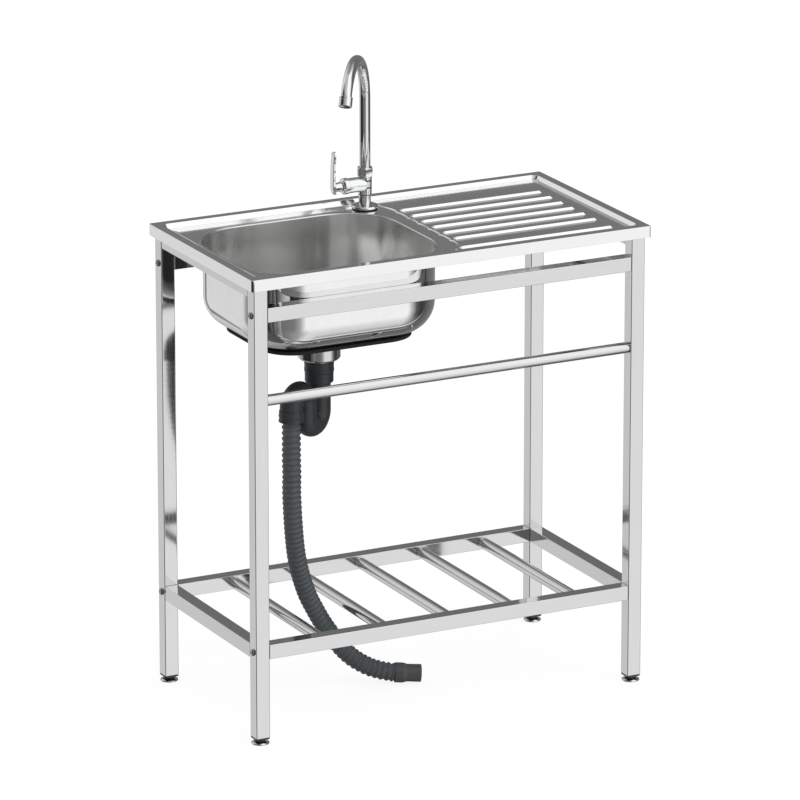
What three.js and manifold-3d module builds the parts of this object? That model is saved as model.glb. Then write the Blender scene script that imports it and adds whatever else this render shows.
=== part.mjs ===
// Free-standing kitchen sink unit: a pressed steel top with one bowl and a drainboard,
// on a bolted frame of square tubes with a slatted shelf, a towel bar and levelling feet,
// with a swivel-spout tap, a basket strainer, an S-trap and a corrugated drain hose.
// Millimetres, +Z up, -Y is the front. The origin is on the floor, under the middle of the top.
import * as THREE from 'three';
import { mergeVertices } from 'three/addons/utils/BufferGeometryUtils.js';
import Module from 'manifold-3d';

const wasm = await Module();
wasm.setup();

// ---- Fits ----
const SEAT_GAP = 0.3;          // between a piece and the flat face that it rests on
const RUN_GAP = 0.3;           // around a round piece in its hole
const CUT_OVER = 1;            // how far a cutting solid runs past the face that it opens

// ---- Sink top ----
const TOP_LENGTH = 750;
const TOP_DEPTH = 400;
const TOP_HEIGHT = 815;        // the rim above the floor
const APRON_HEIGHT = 20;
const TOP_CORNER = 3;
const SHEET = 1;               // steel thickness of the top and the bowl
const RIM_WIDTH = 16;
const RECESS_RUN = 9;          // how far the recess wall slopes inwards
const RECESS_CORNER = 12;
const BOARD_DROP = 7;          // rim to drainboard floor
const DECK_DROP = 9;           // rim to the deck around the bowl
const DECK_MARGIN = 24.5;      // from the bowl to the step up to the drainboard
const DECK_CORNER = 80;        // the step's ends curve away to the left
const DECK_RUN_OUT = 12;       // the curves leave the floor before they close
const TAP_PAD = 56;            // round level place on the deck for the tap

const RIB_COUNT = 7;
const RIB_LEFT_MARGIN = 0.3;   // from the step to the ribs
const RIB_RIGHT_MARGIN = 30.5; // these three reach to the foot of the recess wall
const RIB_BACK_MARGIN = 85;
const RIB_FRONT_MARGIN = 10.5;
const RIB_LAST_PITCH = 56;     // the front rib stands apart
const RIB_LAST_EXTRA = 18;     // and reaches further towards the bowl
const RIB_WIDTH = 10;
const RIB_HEIGHT = 3;
const RIB_SLOPE = 3;

// ---- Bowl ----
const BOWL_LEFT = 34;          // edges of the top to the bowl's opening
const BOWL_FRONT = 28;
const BOWL_BACK = 53;
const OPENING_LENGTH = 363;
const OPENING_CORNER = 100;
const BOWL_INSET = 5;          // opening edge to the inner wall of the bowl
const BOWL_DEPTH = 155;        // rim to the bowl floor
const BOWL_FILLET = 54;
const BOWL_FLANGE = 6;         // flange beyond the opening, under the deck
const DRAIN_HOLE = 90;
const PAD_INSET = 42.5;        // opening edge to the edge of the sound pad
const PAD_CORNER = 60;
const PAD_THICKNESS = 7;
const PAD_HOLE = 124;

// ---- Frame ----
const LEG_SIZE = 25;
const LEG_WALL = 1.2;
const LEG_CORNER = 1.8;
const LEG_INSET = 7.5;         // edge of the top to the outer leg faces
const LEG_BOTTOM = 12;
const RAIL_WIDTH = 24;
const RAIL_HEIGHT = 25;
const RAIL_WALL = 1.2;
const RAIL_END_PLATE = 3;
const CROSS_RAIL_DROP = 65.5;  // rim to the middle of the front and back top rails
const SHELF_Z = 163;           // middle of the shelf rails and slats
const SIDE_RAIL_DROP = 1.5;    // leg tops to the side top rails
const SLAT_COUNT = 5;
const SLAT_START = 75;         // from the drain's axis to the first slat on its left
const SLAT_PITCH = 121.2;      // the hose passes between the first two slats
const SLAT_DIAMETER = 20;
const BAR_DIAMETER = 19;
const BAR_DROP = 215;          // rim to the middle of the towel bar
const ROUND_WALL = 1.2;

const BOLT_SHANK = 6;
const BOLT_HEAD = 12;
const BOLT_HEAD_HEIGHT = 3.5;
const BOLT_REACH = 9;          // bolt tip past the face of the rail end

const PLUG_FLANGE = 2.7;
const PLUG_BODY = 18;
const STUD_DIAMETER = 10;
const STUD_TOP = 36;
const FOOT_DIAMETER = 31;
const FOOT_EDGE = 2;
const FOOT_DOME = 5.5;
const FOOT_NUT_DIAMETER = 15;

// ---- Tap ----
const TAP_INSET = 12;          // from the bowl's right edge to the tap's axis
const TAP_FROM_BACK = 49;      // and from the back edge of the top
const SHANK_DIAMETER = 20.4;
const SHANK_LENGTH = 44;       // below the deck
const TAP_BORE = 12;
const TAP_GASKET = 1.5;
const TAP_FLANGE_DIAMETER = 47;
const TAP_FLANGE_HEIGHT = 6;
const COLUMN_DIAMETER = 20.6;
const BLOCK_DIAMETER = 23.8;
const BLOCK_BOTTOM = 26;       // heights here are above the deck
const BLOCK_TOP = 56.7;
const BLOCK_GROOVES = 2;
const GROOVE_PITCH = 12;
const GROOVE_WIDTH = 1.6;
const GROOVE_DEPTH = 0.9;
const NECK_HEIGHT = 3;
const BARREL_HEIGHT = 43.2;
const BARREL_DIAMETER = 26;
const BARREL_REACH = 37.5;     // from the column axis
const BARREL_BORE = 18;
const BARREL_BORE_START = 14;
const CARTRIDGE_END = 35.5;
const SPINDLE_DIAMETER = 8;
const BONNET_DIAMETER = 28.4;
const BONNET_START = 34;
const BONNET_END = 45;
const BONNET_CHAMFER = 2.5;
const HUB_DIAMETER = 17;
const BLADE_DISTANCE = 58.5;
const BLADE_THICKNESS = 5;
const BLADE_WIDTH = 14;
const BLADE_ABOVE = 63.5;       // blade tip above the barrel axis
const BLADE_BELOW = 13;

const NUT_ACROSS = 25;
const NUT_HEIGHT = 16;
const NUT_LIP = 7.5;           // solid height above the pocket
const SPOUT_DIAMETER = 19;
const SPOUT_WALL = 1.4;
const SPOUT_BEAD_DIAMETER = 22;
const SPOUT_BEND_HEIGHT = 192.6;
const SPOUT_RADIUS = 86;
const SPOUT_SWEEP = 150;       // degrees of arc
const SPOUT_YAW = 38;          // degrees from the front towards the left
const SPOUT_TAIL = 8;          // straight end inside the aerator
const AERATOR_DIAMETER = 23;
const AERATOR_LENGTH = 17;
const AERATOR_BORE = 15;

const WASHER_DIAMETER = 36;
const WASHER_THICKNESS = 2;
const DECK_NUT_ACROSS = 30;
const DECK_NUT_HEIGHT = 11;

// ---- Drain ----
const STRAINER_FLANGE = 112;
const STRAINER_FLANGE_THICKNESS = 1.6;
const STRAINER_NECK = 87;
const STRAINER_NECK_LENGTH = 19;
const STRAINER_CUP = 73;
const STRAINER_DEPTH = 55.9;   // flange to the bottom of the cup
const STRAINER_WALL = 1.6;
const TAIL_DIAMETER = 44;
const TAIL_LENGTH = 21.4;
const LOCKNUT_DIAMETER = 104;
const LOCKNUT_HEIGHT = 10;
const STRAINER_GASKET = 2.5;
const BASKET_WALL = 1;
const BASKET_CLEARANCE = 11.6; // cup bottom to basket bottom
const BASKET_CUP = 66;
const BASKET_HOLES = 8;
const BASKET_HOLE = 6;
const BASKET_HOLE_RING = 42;
const KNOB_DIAMETER = 14;
const KNOB_HEIGHT = 41;        // above the basket's bottom
const COUPLING_DROP = 4.4;     // cup bottom to the coupling's top
const COUPLING_DIAMETER = 51;
const COUPLING_HEIGHT = 17.7;
const INLET_COLLAR_DIAMETER = 49;
const INLET_COLLAR_HEIGHT = 17.5;
const TRAP_DIAMETER = 40;
const TRAP_WALL = 2.5;
const TRAP_BEND = 23;          // radius of the middle line of each bend
const TRAP_INLET = 66.4;       // coupling's bottom to where the U begins
const TRAP_RISE = 21.6;        // from there to where the upper bend begins
const TRAP_OUTLET = 20.5;      // and from there down to the hose
const TRAP_YAW = 33;           // degrees from the left towards the front
const CONNECTOR_HEIGHT = 20;
const CONNECTOR_DIAMETER = 41.6;
const CONNECTOR_LIP = 43.6;
const HOSE_DIAMETER = 33;
const HOSE_STEPS = 11;
const CUFF_DIAMETER = 31;
const CUFF_COLLAR_DIAMETER = 35;
const CUFF_COLLAR_LENGTH = 19;
const CUFF_BORE = 23;

// The hose's middle line, from the connector to where its end cuff begins, drawn from the
// drain's axis. The heights are stretched between the trap's outlet and the hose's end.
const HOSE_ROUTE = [
  [-77.2, -50.1, 517], [-77.2, -50.1, 485], [-76.5, -48.5, 453], [-74.5, -45.5, 421],
  [-72.5, -40.5, 390], [-68.5, -34.5, 359], [-63.5, -27.5, 328], [-57.5, -19.5, 298],
  [-50.5, -11.5, 268], [-41.5, -3.5, 239], [-30.5, 4.5, 210], [-17.5, 11.5, 181],
  [-2.5, 16.5, 154], [13.5, 20.5, 127], [31.5, 23.5, 101], [50.5, 23.5, 75],
  [72.5, 21.5, 52], [98.5, 16.5, 34], [120.5, 11.3, 24.6], [142.5, 5.1, 18.8],
];
const CUFF_TIP = [187.5, -12.5, 15.9];

// ---- Levels and places worked out from the sizes above ----
const DECK_Z = TOP_HEIGHT - DECK_DROP;
const BOARD_Z = TOP_HEIGHT - BOARD_DROP;
const UNDERSIDE_Z = DECK_Z - SHEET;
const LEG_TOP = UNDERSIDE_Z - SEAT_GAP;
const BOARD_X = TOP_LENGTH / 2 - RIM_WIDTH - RECESS_RUN;
const BOARD_Y = TOP_DEPTH / 2 - RIM_WIDTH - RECESS_RUN;
const OPENING_DEPTH = TOP_DEPTH - BOWL_FRONT - BOWL_BACK;
const BOWL_X = (OPENING_LENGTH - TOP_LENGTH) / 2 + BOWL_LEFT;
const BOWL_Y = (OPENING_DEPTH - TOP_DEPTH) / 2 + BOWL_FRONT;
const BOWL_RIGHT = BOWL_X + OPENING_LENGTH / 2;
const DECK_RIGHT = BOWL_RIGHT + DECK_MARGIN;
const RIB_LEFT = DECK_RIGHT + RIB_LEFT_MARGIN;
const RIB_RIGHT = BOARD_X - RIB_RIGHT_MARGIN;
const RIB_BACK_Y = BOARD_Y - RIB_BACK_MARGIN;
const RIB_FRONT_Y = RIB_FRONT_MARGIN - BOARD_Y;
const RIB_PITCH = (RIB_BACK_Y - RIB_FRONT_Y - RIB_LAST_PITCH) / (RIB_COUNT - 2);
const TAP_X = BOWL_RIGHT - TAP_INSET;
const TAP_Y = TOP_DEPTH / 2 - TAP_FROM_BACK;
const BOWL_FLOOR = TOP_HEIGHT - BOWL_DEPTH;
const PAD_TOP = BOWL_FLOOR - SHEET - SEAT_GAP;
const LEG_X = TOP_LENGTH / 2 - LEG_INSET - LEG_SIZE / 2;
const LEG_Y = TOP_DEPTH / 2 - LEG_INSET - LEG_SIZE / 2;
const CROSS_RAIL_LENGTH = 2 * LEG_X - LEG_SIZE - 2 * SEAT_GAP;
const SIDE_RAIL_LENGTH = 2 * LEG_Y - LEG_SIZE - 2 * SEAT_GAP;
const SIDE_RAIL_X = LEG_X + (LEG_SIZE - RAIL_WIDTH) / 2;
const CROSS_RAIL_Z = TOP_HEIGHT - CROSS_RAIL_DROP;
const BAR_Z = TOP_HEIGHT - BAR_DROP;
const SIDE_RAIL_Z = LEG_TOP - SIDE_RAIL_DROP - RAIL_HEIGHT / 2;
const SLAT_LENGTH = 2 * LEG_Y - RAIL_WIDTH - 2 * SEAT_GAP;
const BOLT_LENGTH = LEG_SIZE + SEAT_GAP + BOLT_REACH;
const PLUG_BOTTOM = LEG_BOTTOM - SEAT_GAP - PLUG_FLANGE;
const TAP_BARREL_Z = DECK_Z + BARREL_HEIGHT;
const NUT_BOTTOM = DECK_Z + BLOCK_TOP + SEAT_GAP;
const SPOUT_BOTTOM = DECK_Z + BLOCK_TOP + NECK_HEIGHT + SEAT_GAP;
const STRAINER_SEAT = BOWL_FLOOR + SEAT_GAP;
const STRAINER_TOP = STRAINER_SEAT + STRAINER_FLANGE_THICKNESS;
const LEDGE_Z = STRAINER_SEAT - STRAINER_NECK_LENGTH + STRAINER_WALL;
const CUP_BOTTOM = STRAINER_SEAT - STRAINER_DEPTH;
const BASKET_BOTTOM = CUP_BOTTOM + BASKET_CLEARANCE;
const KNOB_TOP = BASKET_BOTTOM + KNOB_HEIGHT;
const COUPLING_TOP = CUP_BOTTOM - COUPLING_DROP;
const COUPLING_BOTTOM = COUPLING_TOP - COUPLING_HEIGHT;
const TRAP_TOP = COUPLING_BOTTOM - SEAT_GAP;
const TRAP_LOWER_BEND_Z = COUPLING_BOTTOM - TRAP_INLET;
const TRAP_UPPER_BEND_Z = TRAP_LOWER_BEND_Z + TRAP_RISE;
const HOSE_TOP = TRAP_UPPER_BEND_Z - TRAP_OUTLET;
const CONNECTOR_TOP = HOSE_TOP + CONNECTOR_HEIGHT;

// ---- Materials ----
function finish(color, roughness, metalness) {
  return new THREE.MeshStandardMaterial({ color, roughness, metalness });
}
const BRUSHED_STEEL = finish(0x9a9a9a, 0.32, 1);
const BOWL_STEEL = finish(0xa8a8a8, 0.2, 1);
const TUBE_STEEL = finish(0xc9c9c9, 0.25, 1);
const CHROME = finish(0xd8dadb, 0.06, 1);
const ZINC_STEEL = finish(0xb9bbbd, 0.3, 1);
const BRASS = finish(0xb5a262, 0.35, 1);
const RUBBER = finish(0x141414, 0.8, 0);
const PAD_RUBBER = finish(0x161718, 0.85, 0);
const BLACK_PLASTIC = finish(0x303236, 0.45, 0);
const HOSE_PLASTIC = finish(0x4a4d50, 0.5, 0);
const CERAMIC = finish(0xe6e4de, 0.3, 0);

// ---- Solids ----
function solidOf(geometry) {
  const bare = geometry.clone();
  bare.deleteAttribute('normal');
  bare.deleteAttribute('uv');
  const merged = mergeVertices(bare, 1e-4);
  return new wasm.Manifold(new wasm.Mesh({
    numProp: 3,
    vertProperties: new Float32Array(merged.attributes.position.array),
    triVerts: new Uint32Array(merged.index.array),
  }));
}

function geometryOf(solid) {
  const mesh = solid.getMesh();
  const geometry = new THREE.BufferGeometry();
  geometry.setAttribute('position', new THREE.BufferAttribute(mesh.vertProperties, 3));
  geometry.setIndex(new THREE.BufferAttribute(mesh.triVerts, 1));
  geometry.computeVertexNormals();
  return geometry;
}

function joined(first, ...others) {
  return others.reduce((sum, next) => sum.add(next), first);
}

function cutBy(body, ...tools) {
  return tools.reduce((rest, tool) => rest.subtract(tool), body);
}

// A rectangle with round corners, centred on the origin of its plane.
function roundedRectangle(length, width, radius, Kind = THREE.Shape) {
  const [x, y] = [length / 2 - radius, width / 2 - radius];
  const outline = new Kind();
  outline.absarc(x, y, radius, 0, Math.PI / 2);
  outline.absarc(-x, y, radius, Math.PI / 2, Math.PI);
  outline.absarc(-x, -y, radius, Math.PI, 1.5 * Math.PI);
  outline.absarc(x, -y, radius, 1.5 * Math.PI, 2 * Math.PI);
  outline.closePath();
  return outline;
}

// An upright prism on an outline, from one height to another.
function prism(shape, bottom, top, curveSegments = 6) {
  const options = { depth: top - bottom, bevelEnabled: false, curveSegments };
  return new THREE.ExtrudeGeometry(shape, options).translate(0, 0, bottom);
}

// A prism whose bottom edge is rounded or sloped inwards by run, over the height drop.
function taperedPrism(shape, bottom, top, drop, run, steps, curveSegments) {
  const options = {
    depth: top - bottom - drop, bevelEnabled: true, bevelThickness: drop, bevelSize: run,
    bevelOffset: -run, bevelSegments: steps, curveSegments,
  };
  const raw = new THREE.ExtrudeGeometry(shape, options).translate(0, 0, bottom + drop);
  const span = 2 * (TOP_LENGTH + TOP_DEPTH);
  const lid = new THREE.BoxGeometry(span, span, drop + CUT_OVER);
  return cutBy(solidOf(raw), solidOf(lid.translate(0, 0, top + (drop + CUT_OVER) / 2)));
}

function cylinder(diameter, bottom, top, sides) {
  const tube = new THREE.CylinderGeometry(diameter / 2, diameter / 2, top - bottom, sides);
  return tube.rotateX(Math.PI / 2).translate(0, 0, (top + bottom) / 2);
}

// A turned piece about +Z: profile points are [diameter, height] pairs, listed up the outside.
function turned(profile, sides) {
  const points = profile.map(([diameter, z]) => new THREE.Vector2(diameter / 2, z));
  return new THREE.LatheGeometry(points, sides).rotateX(Math.PI / 2);
}

// A turned ring: the profile closes on itself.
function turnedRing(profile, sides) {
  return turned([...profile, profile[0]], sides);
}

function plainRing(outer, inner, bottom, top, sides) {
  return turnedRing([[inner, bottom], [outer, bottom], [outer, top], [inner, top]], sides);
}

function annulus(outer, inner) {
  const shape = new THREE.Shape().absarc(0, 0, outer / 2, 0, 2 * Math.PI);
  shape.holes.push(new THREE.Path().absarc(0, 0, inner / 2, 0, 2 * Math.PI));
  return shape;
}

function hexagon(across) {
  const shape = new THREE.Shape();
  for (let corner = 0; corner < 6; corner += 1) {
    const angle = (corner * Math.PI) / 3;
    const radius = across / Math.sqrt(3);
    const [x, y] = [radius * Math.cos(angle), radius * Math.sin(angle)];
    if (corner === 0) shape.moveTo(x, y);
    else shape.lineTo(x, y);
  }
  shape.closePath();
  return shape;
}

// A path given as stations, each with its point and direction, so that straight
// stretches need no steps.
class StationPath extends THREE.Curve {
  constructor(stations) {
    super();
    this.stations = stations;
  }

  getSpacedPoints() {
    return this.stations.map(({ point }) => point.clone());
  }

  getTangentAt(share, target = new THREE.Vector3()) {
    const index = Math.round(share * (this.stations.length - 1));
    return target.copy(this.stations[index].direction);
  }
}

function sweep(section, path, steps, curveSegments) {
  return new THREE.ExtrudeGeometry(section, { extrudePath: path, steps, curveSegments });
}

// Stations round a bend that starts at a point with a direction, turning towards side.
function bendStations(start, direction, side, radius, degrees, steps) {
  const stations = [];
  for (let step = 0; step <= steps; step += 1) {
    const angle = THREE.MathUtils.degToRad((degrees * step) / steps);
    const along = direction.clone().multiplyScalar(radius * Math.sin(angle));
    const across = side.clone().multiplyScalar(radius * (1 - Math.cos(angle)));
    const heading = direction.clone().multiplyScalar(Math.cos(angle));
    heading.add(side.clone().multiplyScalar(Math.sin(angle)));
    stations.push({ point: start.clone().add(along).add(across), direction: heading });
  }
  return stations;
}

const group = new THREE.Group();

function place(name, geometry, material, x = 0, y = 0, z = 0) {
  const mesh = new THREE.Mesh(geometry, material.clone());
  mesh.name = name;
  mesh.position.set(x, y, z);
  group.add(mesh);
  return mesh;
}

// ---- Sink top and bowl ----

// The sunken part of the top. grow widens it on every side, for the lower face of the sheet.
function recess(drop, grow, top) {
  const length = TOP_LENGTH - 2 * RIM_WIDTH + 2 * grow;
  const depth = TOP_DEPTH - 2 * RIM_WIDTH + 2 * grow;
  const shape = roundedRectangle(length, depth, RECESS_CORNER + grow);
  return taperedPrism(shape, TOP_HEIGHT - drop, top, drop, RECESS_RUN, 1, 4);
}

function openingPrism(grow, bottom, top, curveSegments = 8) {
  const length = OPENING_LENGTH + 2 * grow;
  const depth = OPENING_DEPTH + 2 * grow;
  const shape = roundedRectangle(length, depth, OPENING_CORNER + grow);
  return solidOf(prism(shape, bottom, top, curveSegments).translate(BOWL_X, BOWL_Y, 0));
}

// The deck around the bowl and under the tap lies lower than the drainboard.
function loweredDeck() {
  const inner = RIM_WIDTH + RECESS_RUN;
  const floor = roundedRectangle(TOP_LENGTH - 2 * inner, TOP_DEPTH - 2 * inner, RECESS_CORNER / 4);
  const depth = TOP_DEPTH - 2 * inner + 2 * DECK_RUN_OUT;
  const around = roundedRectangle(TOP_LENGTH, depth, DECK_CORNER);
  const sheet = prism(around, DECK_Z, BOARD_Z + CUT_OVER, 4);
  const border = solidOf(sheet.translate(DECK_RIGHT - TOP_LENGTH / 2, 0, 0));
  const pad = solidOf(cylinder(TAP_PAD, DECK_Z, BOARD_Z + CUT_OVER, 20).translate(TAP_X, TAP_Y, 0));
  const limits = solidOf(prism(floor, DECK_Z - CUT_OVER, TOP_HEIGHT, 1));
  return joined(border, pad).intersect(limits);
}

function ribs() {
  const solids = [];
  for (let index = 0; index < RIB_COUNT; index += 1) {
    const last = index === RIB_COUNT - 1;
    const left = RIB_LEFT - (last ? RIB_LAST_EXTRA : 0);
    const y = last ? RIB_FRONT_Y : RIB_BACK_Y - index * RIB_PITCH;
    const length = RIB_RIGHT - left;
    const shape = roundedRectangle(length, RIB_WIDTH, RIB_WIDTH / 2);
    const options = {
      depth: SHEET / 2, bevelEnabled: true, bevelThickness: RIB_HEIGHT, bevelSize: RIB_SLOPE,
      bevelOffset: -RIB_SLOPE, bevelSegments: 1, curveSegments: 1,
    };
    const bead = new THREE.ExtrudeGeometry(shape, options);
    bead.translate((RIB_RIGHT + left) / 2, y, BOARD_Z - SHEET / 2);
    const below = new THREE.BoxGeometry(length + 2, RIB_WIDTH + 2, RIB_HEIGHT + SHEET);
    const floor = BOARD_Z - SHEET / 2 - (RIB_HEIGHT + SHEET) / 2;
    below.translate((RIB_RIGHT + left) / 2, y, floor);
    solids.push(cutBy(solidOf(bead), solidOf(below)));
  }
  return solids;
}

function sinkTop() {
  const bottom = TOP_HEIGHT - APRON_HEIGHT;
  const outline = roundedRectangle(TOP_LENGTH, TOP_DEPTH, TOP_CORNER);
  const inside = roundedRectangle(
    TOP_LENGTH - 2 * SHEET, TOP_DEPTH - 2 * SHEET, TOP_CORNER - SHEET);
  const block = solidOf(prism(outline, bottom, TOP_HEIGHT, 3));
  const hollow = solidOf(prism(inside, bottom - CUT_OVER, TOP_HEIGHT - SHEET, 3));
  const under = cutBy(hollow, recess(DECK_DROP + SHEET, SHEET, TOP_HEIGHT + CUT_OVER));
  const tapHole = cylinder(SHANK_DIAMETER + 2, UNDERSIDE_Z - CUT_OVER, TOP_HEIGHT, 16);
  const pressed = cutBy(
    block, under, recess(BOARD_DROP, 0, TOP_HEIGHT + CUT_OVER), loweredDeck(),
    openingPrism(0, UNDERSIDE_Z - CUT_OVER, TOP_HEIGHT),
    solidOf(tapHole.translate(TAP_X, TAP_Y, 0)));
  return geometryOf(joined(pressed, ...ribs()));
}

// The space that the bowl's inner face holds, or its outer face when grown by the sheet.
function bowlForm(grow, top) {
  const inset = BOWL_INSET - grow;
  const shape = roundedRectangle(
    OPENING_LENGTH - 2 * inset, OPENING_DEPTH - 2 * inset, OPENING_CORNER - inset);
  const fillet = BOWL_FILLET + grow;
  const form = taperedPrism(shape, BOWL_FLOOR - grow, top, fillet, fillet, 5, 5);
  return form.translate([BOWL_X, BOWL_Y, 0]);
}

function sinkBowl() {
  const flange = openingPrism(BOWL_FLANGE, LEG_TOP - SHEET, LEG_TOP, 5);
  const hole = cylinder(DRAIN_HOLE, BOWL_FLOOR - SHEET - CUT_OVER, BOWL_FLOOR + CUT_OVER, 24);
  const drainHole = solidOf(hole.translate(BOWL_X, BOWL_Y, 0));
  const shell = joined(bowlForm(SHEET, LEG_TOP), flange);
  return geometryOf(cutBy(shell, bowlForm(0, LEG_TOP + CUT_OVER), drainHole));
}

// The pad follows the bowl's lower face, and its flat underside carries nothing.
function soundPad() {
  const [length, depth] = [OPENING_LENGTH - 2 * PAD_INSET, OPENING_DEPTH - 2 * PAD_INSET];
  const shape = roundedRectangle(length, depth, PAD_CORNER);
  const raised = PAD_TOP + PAD_THICKNESS / 2;
  const slab = prism(shape, PAD_TOP - PAD_THICKNESS, raised, 5).translate(BOWL_X, BOWL_Y, 0);
  const hole = cylinder(PAD_HOLE, PAD_TOP - PAD_THICKNESS - CUT_OVER, raised + CUT_OVER, 24);
  const clear = bowlForm(SHEET + SEAT_GAP, TOP_HEIGHT);
  return geometryOf(cutBy(solidOf(slab), clear, solidOf(hole.translate(BOWL_X, BOWL_Y, 0))));
}

place('sink_top', sinkTop(), BRUSHED_STEEL);
place('sink_bowl', sinkBowl(), BOWL_STEEL);
place('sound_pad', soundPad(), PAD_RUBBER);

// ---- Frame ----
function boxTube(width, height, wall, corner, length, curveSegments) {
  const shape = roundedRectangle(width, height, corner);
  const bore = roundedRectangle(width - 2 * wall, height - 2 * wall, corner - wall, THREE.Path);
  shape.holes.push(bore);
  return prism(shape, 0, length, curveSegments);
}

// A hole along X for a bolt, through a leg or a rail's end plate.
function boltHole(centre, length, z) {
  const hole = cylinder(BOLT_SHANK + 2 * RUN_GAP, -length / 2, length / 2, 8);
  return solidOf(hole.rotateY(Math.PI / 2).translate(centre, 0, z));
}

function leg() {
  const tube = boxTube(LEG_SIZE, LEG_SIZE, LEG_WALL, LEG_CORNER, LEG_TOP - LEG_BOTTOM, 1);
  const holes = [CROSS_RAIL_Z, SHELF_Z].map((z) => boltHole(0, LEG_SIZE + 2, z));
  return geometryOf(cutBy(solidOf(tube.translate(0, 0, LEG_BOTTOM)), ...holes));
}

// A rail along X with a drilled plate in each end for its bolt.
function crossRail() {
  const outer = new THREE.BoxGeometry(CROSS_RAIL_LENGTH, RAIL_WIDTH, RAIL_HEIGHT);
  const inner = new THREE.BoxGeometry(
    CROSS_RAIL_LENGTH - 2 * RAIL_END_PLATE, RAIL_WIDTH - 2 * RAIL_WALL, RAIL_HEIGHT - 2 * RAIL_WALL);
  const ends = [-1, 1].map((end) => boltHole((end * CROSS_RAIL_LENGTH) / 2, 4 * RAIL_END_PLATE, 0));
  return geometryOf(cutBy(solidOf(outer), solidOf(inner), ...ends));
}

function sideRail() {
  const corner = 1.5 * RAIL_WALL;
  const tube = boxTube(RAIL_WIDTH, RAIL_HEIGHT, RAIL_WALL, corner, SIDE_RAIL_LENGTH, 1);
  return tube.rotateX(Math.PI / 2).translate(0, SIDE_RAIL_LENGTH / 2, 0);
}

function roundTube(diameter, length) {
  return prism(annulus(diameter, diameter - 2 * ROUND_WALL), -length / 2, length / 2, 8);
}

// A pan-head bolt, pointing along +X from its head's seat at the origin.
function bolt() {
  const half = BOLT_HEAD_HEIGHT / 2;
  const profile = [
    [0, -BOLT_HEAD_HEIGHT], [BOLT_HEAD * 0.7, -BOLT_HEAD_HEIGHT * 0.8], [BOLT_HEAD, -half],
    [BOLT_HEAD, 0], [BOLT_SHANK, 0], [BOLT_SHANK, BOLT_LENGTH], [0, BOLT_LENGTH],
  ];
  return turned(profile, 10).rotateY(Math.PI / 2);
}

function legPlug() {
  const [flange, bodySize] = [LEG_SIZE, LEG_SIZE - 2 * LEG_WALL - 2 * SEAT_GAP];
  const bodyCorner = LEG_CORNER - LEG_WALL;
  const lip = prism(roundedRectangle(flange, flange, LEG_CORNER), 0, PLUG_FLANGE, 1);
  const insert = prism(
    roundedRectangle(bodySize, bodySize, bodyCorner), PLUG_FLANGE / 2, PLUG_FLANGE + PLUG_BODY, 1);
  const bore = cylinder(STUD_DIAMETER + 2 * RUN_GAP, -1, PLUG_FLANGE + PLUG_BODY + 1, 12);
  return geometryOf(cutBy(joined(solidOf(lip), solidOf(insert)), solidOf(bore)));
}

function levellingFoot() {
  const neck = PLUG_BOTTOM - SEAT_GAP;
  const profile = [
    [0, 0], [FOOT_DIAMETER - 2, 0], [FOOT_DIAMETER, FOOT_EDGE / 2], [FOOT_DIAMETER, FOOT_EDGE],
    [FOOT_DIAMETER * 0.75, FOOT_DOME - 1], [FOOT_NUT_DIAMETER, FOOT_DOME],
    [FOOT_NUT_DIAMETER, neck], [STUD_DIAMETER, neck], [STUD_DIAMETER, STUD_TOP], [0, STUD_TOP],
  ];
  return turned(profile, 16);
}

const SIDES = { left: -1, right: 1 };
const ENDS = { front: -1, back: 1 };

function addCorner(side, end) {
  const corner = `${end}_${side}`;
  const [x, y] = [SIDES[side] * LEG_X, ENDS[end] * LEG_Y];
  place(`leg_${corner}`, leg(), TUBE_STEEL, x, y);
  place(`leg_plug_${corner}`, legPlug(), BLACK_PLASTIC, x, y, PLUG_BOTTOM);
  place(`levelling_foot_${corner}`, levellingFoot(), CHROME, x, y);
  const seat = x + SIDES[side] * (LEG_SIZE / 2 + SEAT_GAP);
  for (const [level, z] of [['top', CROSS_RAIL_Z], ['shelf', SHELF_Z]]) {
    const geometry = SIDES[side] < 0 ? bolt() : bolt().rotateZ(Math.PI);
    place(`bolt_${level}_${corner}`, geometry, ZINC_STEEL, seat, y, z);
  }
}

for (const side of Object.keys(SIDES)) {
  for (const end of Object.keys(ENDS)) addCorner(side, end);
  place(`side_rail_top_${side}`, sideRail(), TUBE_STEEL, SIDES[side] * SIDE_RAIL_X, 0, SIDE_RAIL_Z);
  place(`side_rail_shelf_${side}`, sideRail(), TUBE_STEEL, SIDES[side] * SIDE_RAIL_X, 0, SHELF_Z);
}
for (const end of Object.keys(ENDS)) {
  place(`cross_rail_top_${end}`, crossRail(), TUBE_STEEL, 0, ENDS[end] * LEG_Y, CROSS_RAIL_Z);
  place(`cross_rail_shelf_${end}`, crossRail(), TUBE_STEEL, 0, ENDS[end] * LEG_Y, SHELF_Z);
}
for (let index = 0; index < SLAT_COUNT; index += 1) {
  const x = BOWL_X - SLAT_START + index * SLAT_PITCH;
  const slat = roundTube(SLAT_DIAMETER, SLAT_LENGTH).rotateX(Math.PI / 2);
  place(`shelf_slat_${index + 1}`, slat, TUBE_STEEL, x, 0, SHELF_Z);
}
place('towel_bar', roundTube(BAR_DIAMETER, CROSS_RAIL_LENGTH).rotateY(Math.PI / 2),
  CHROME, 0, -LEG_Y, BAR_Z);

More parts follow.
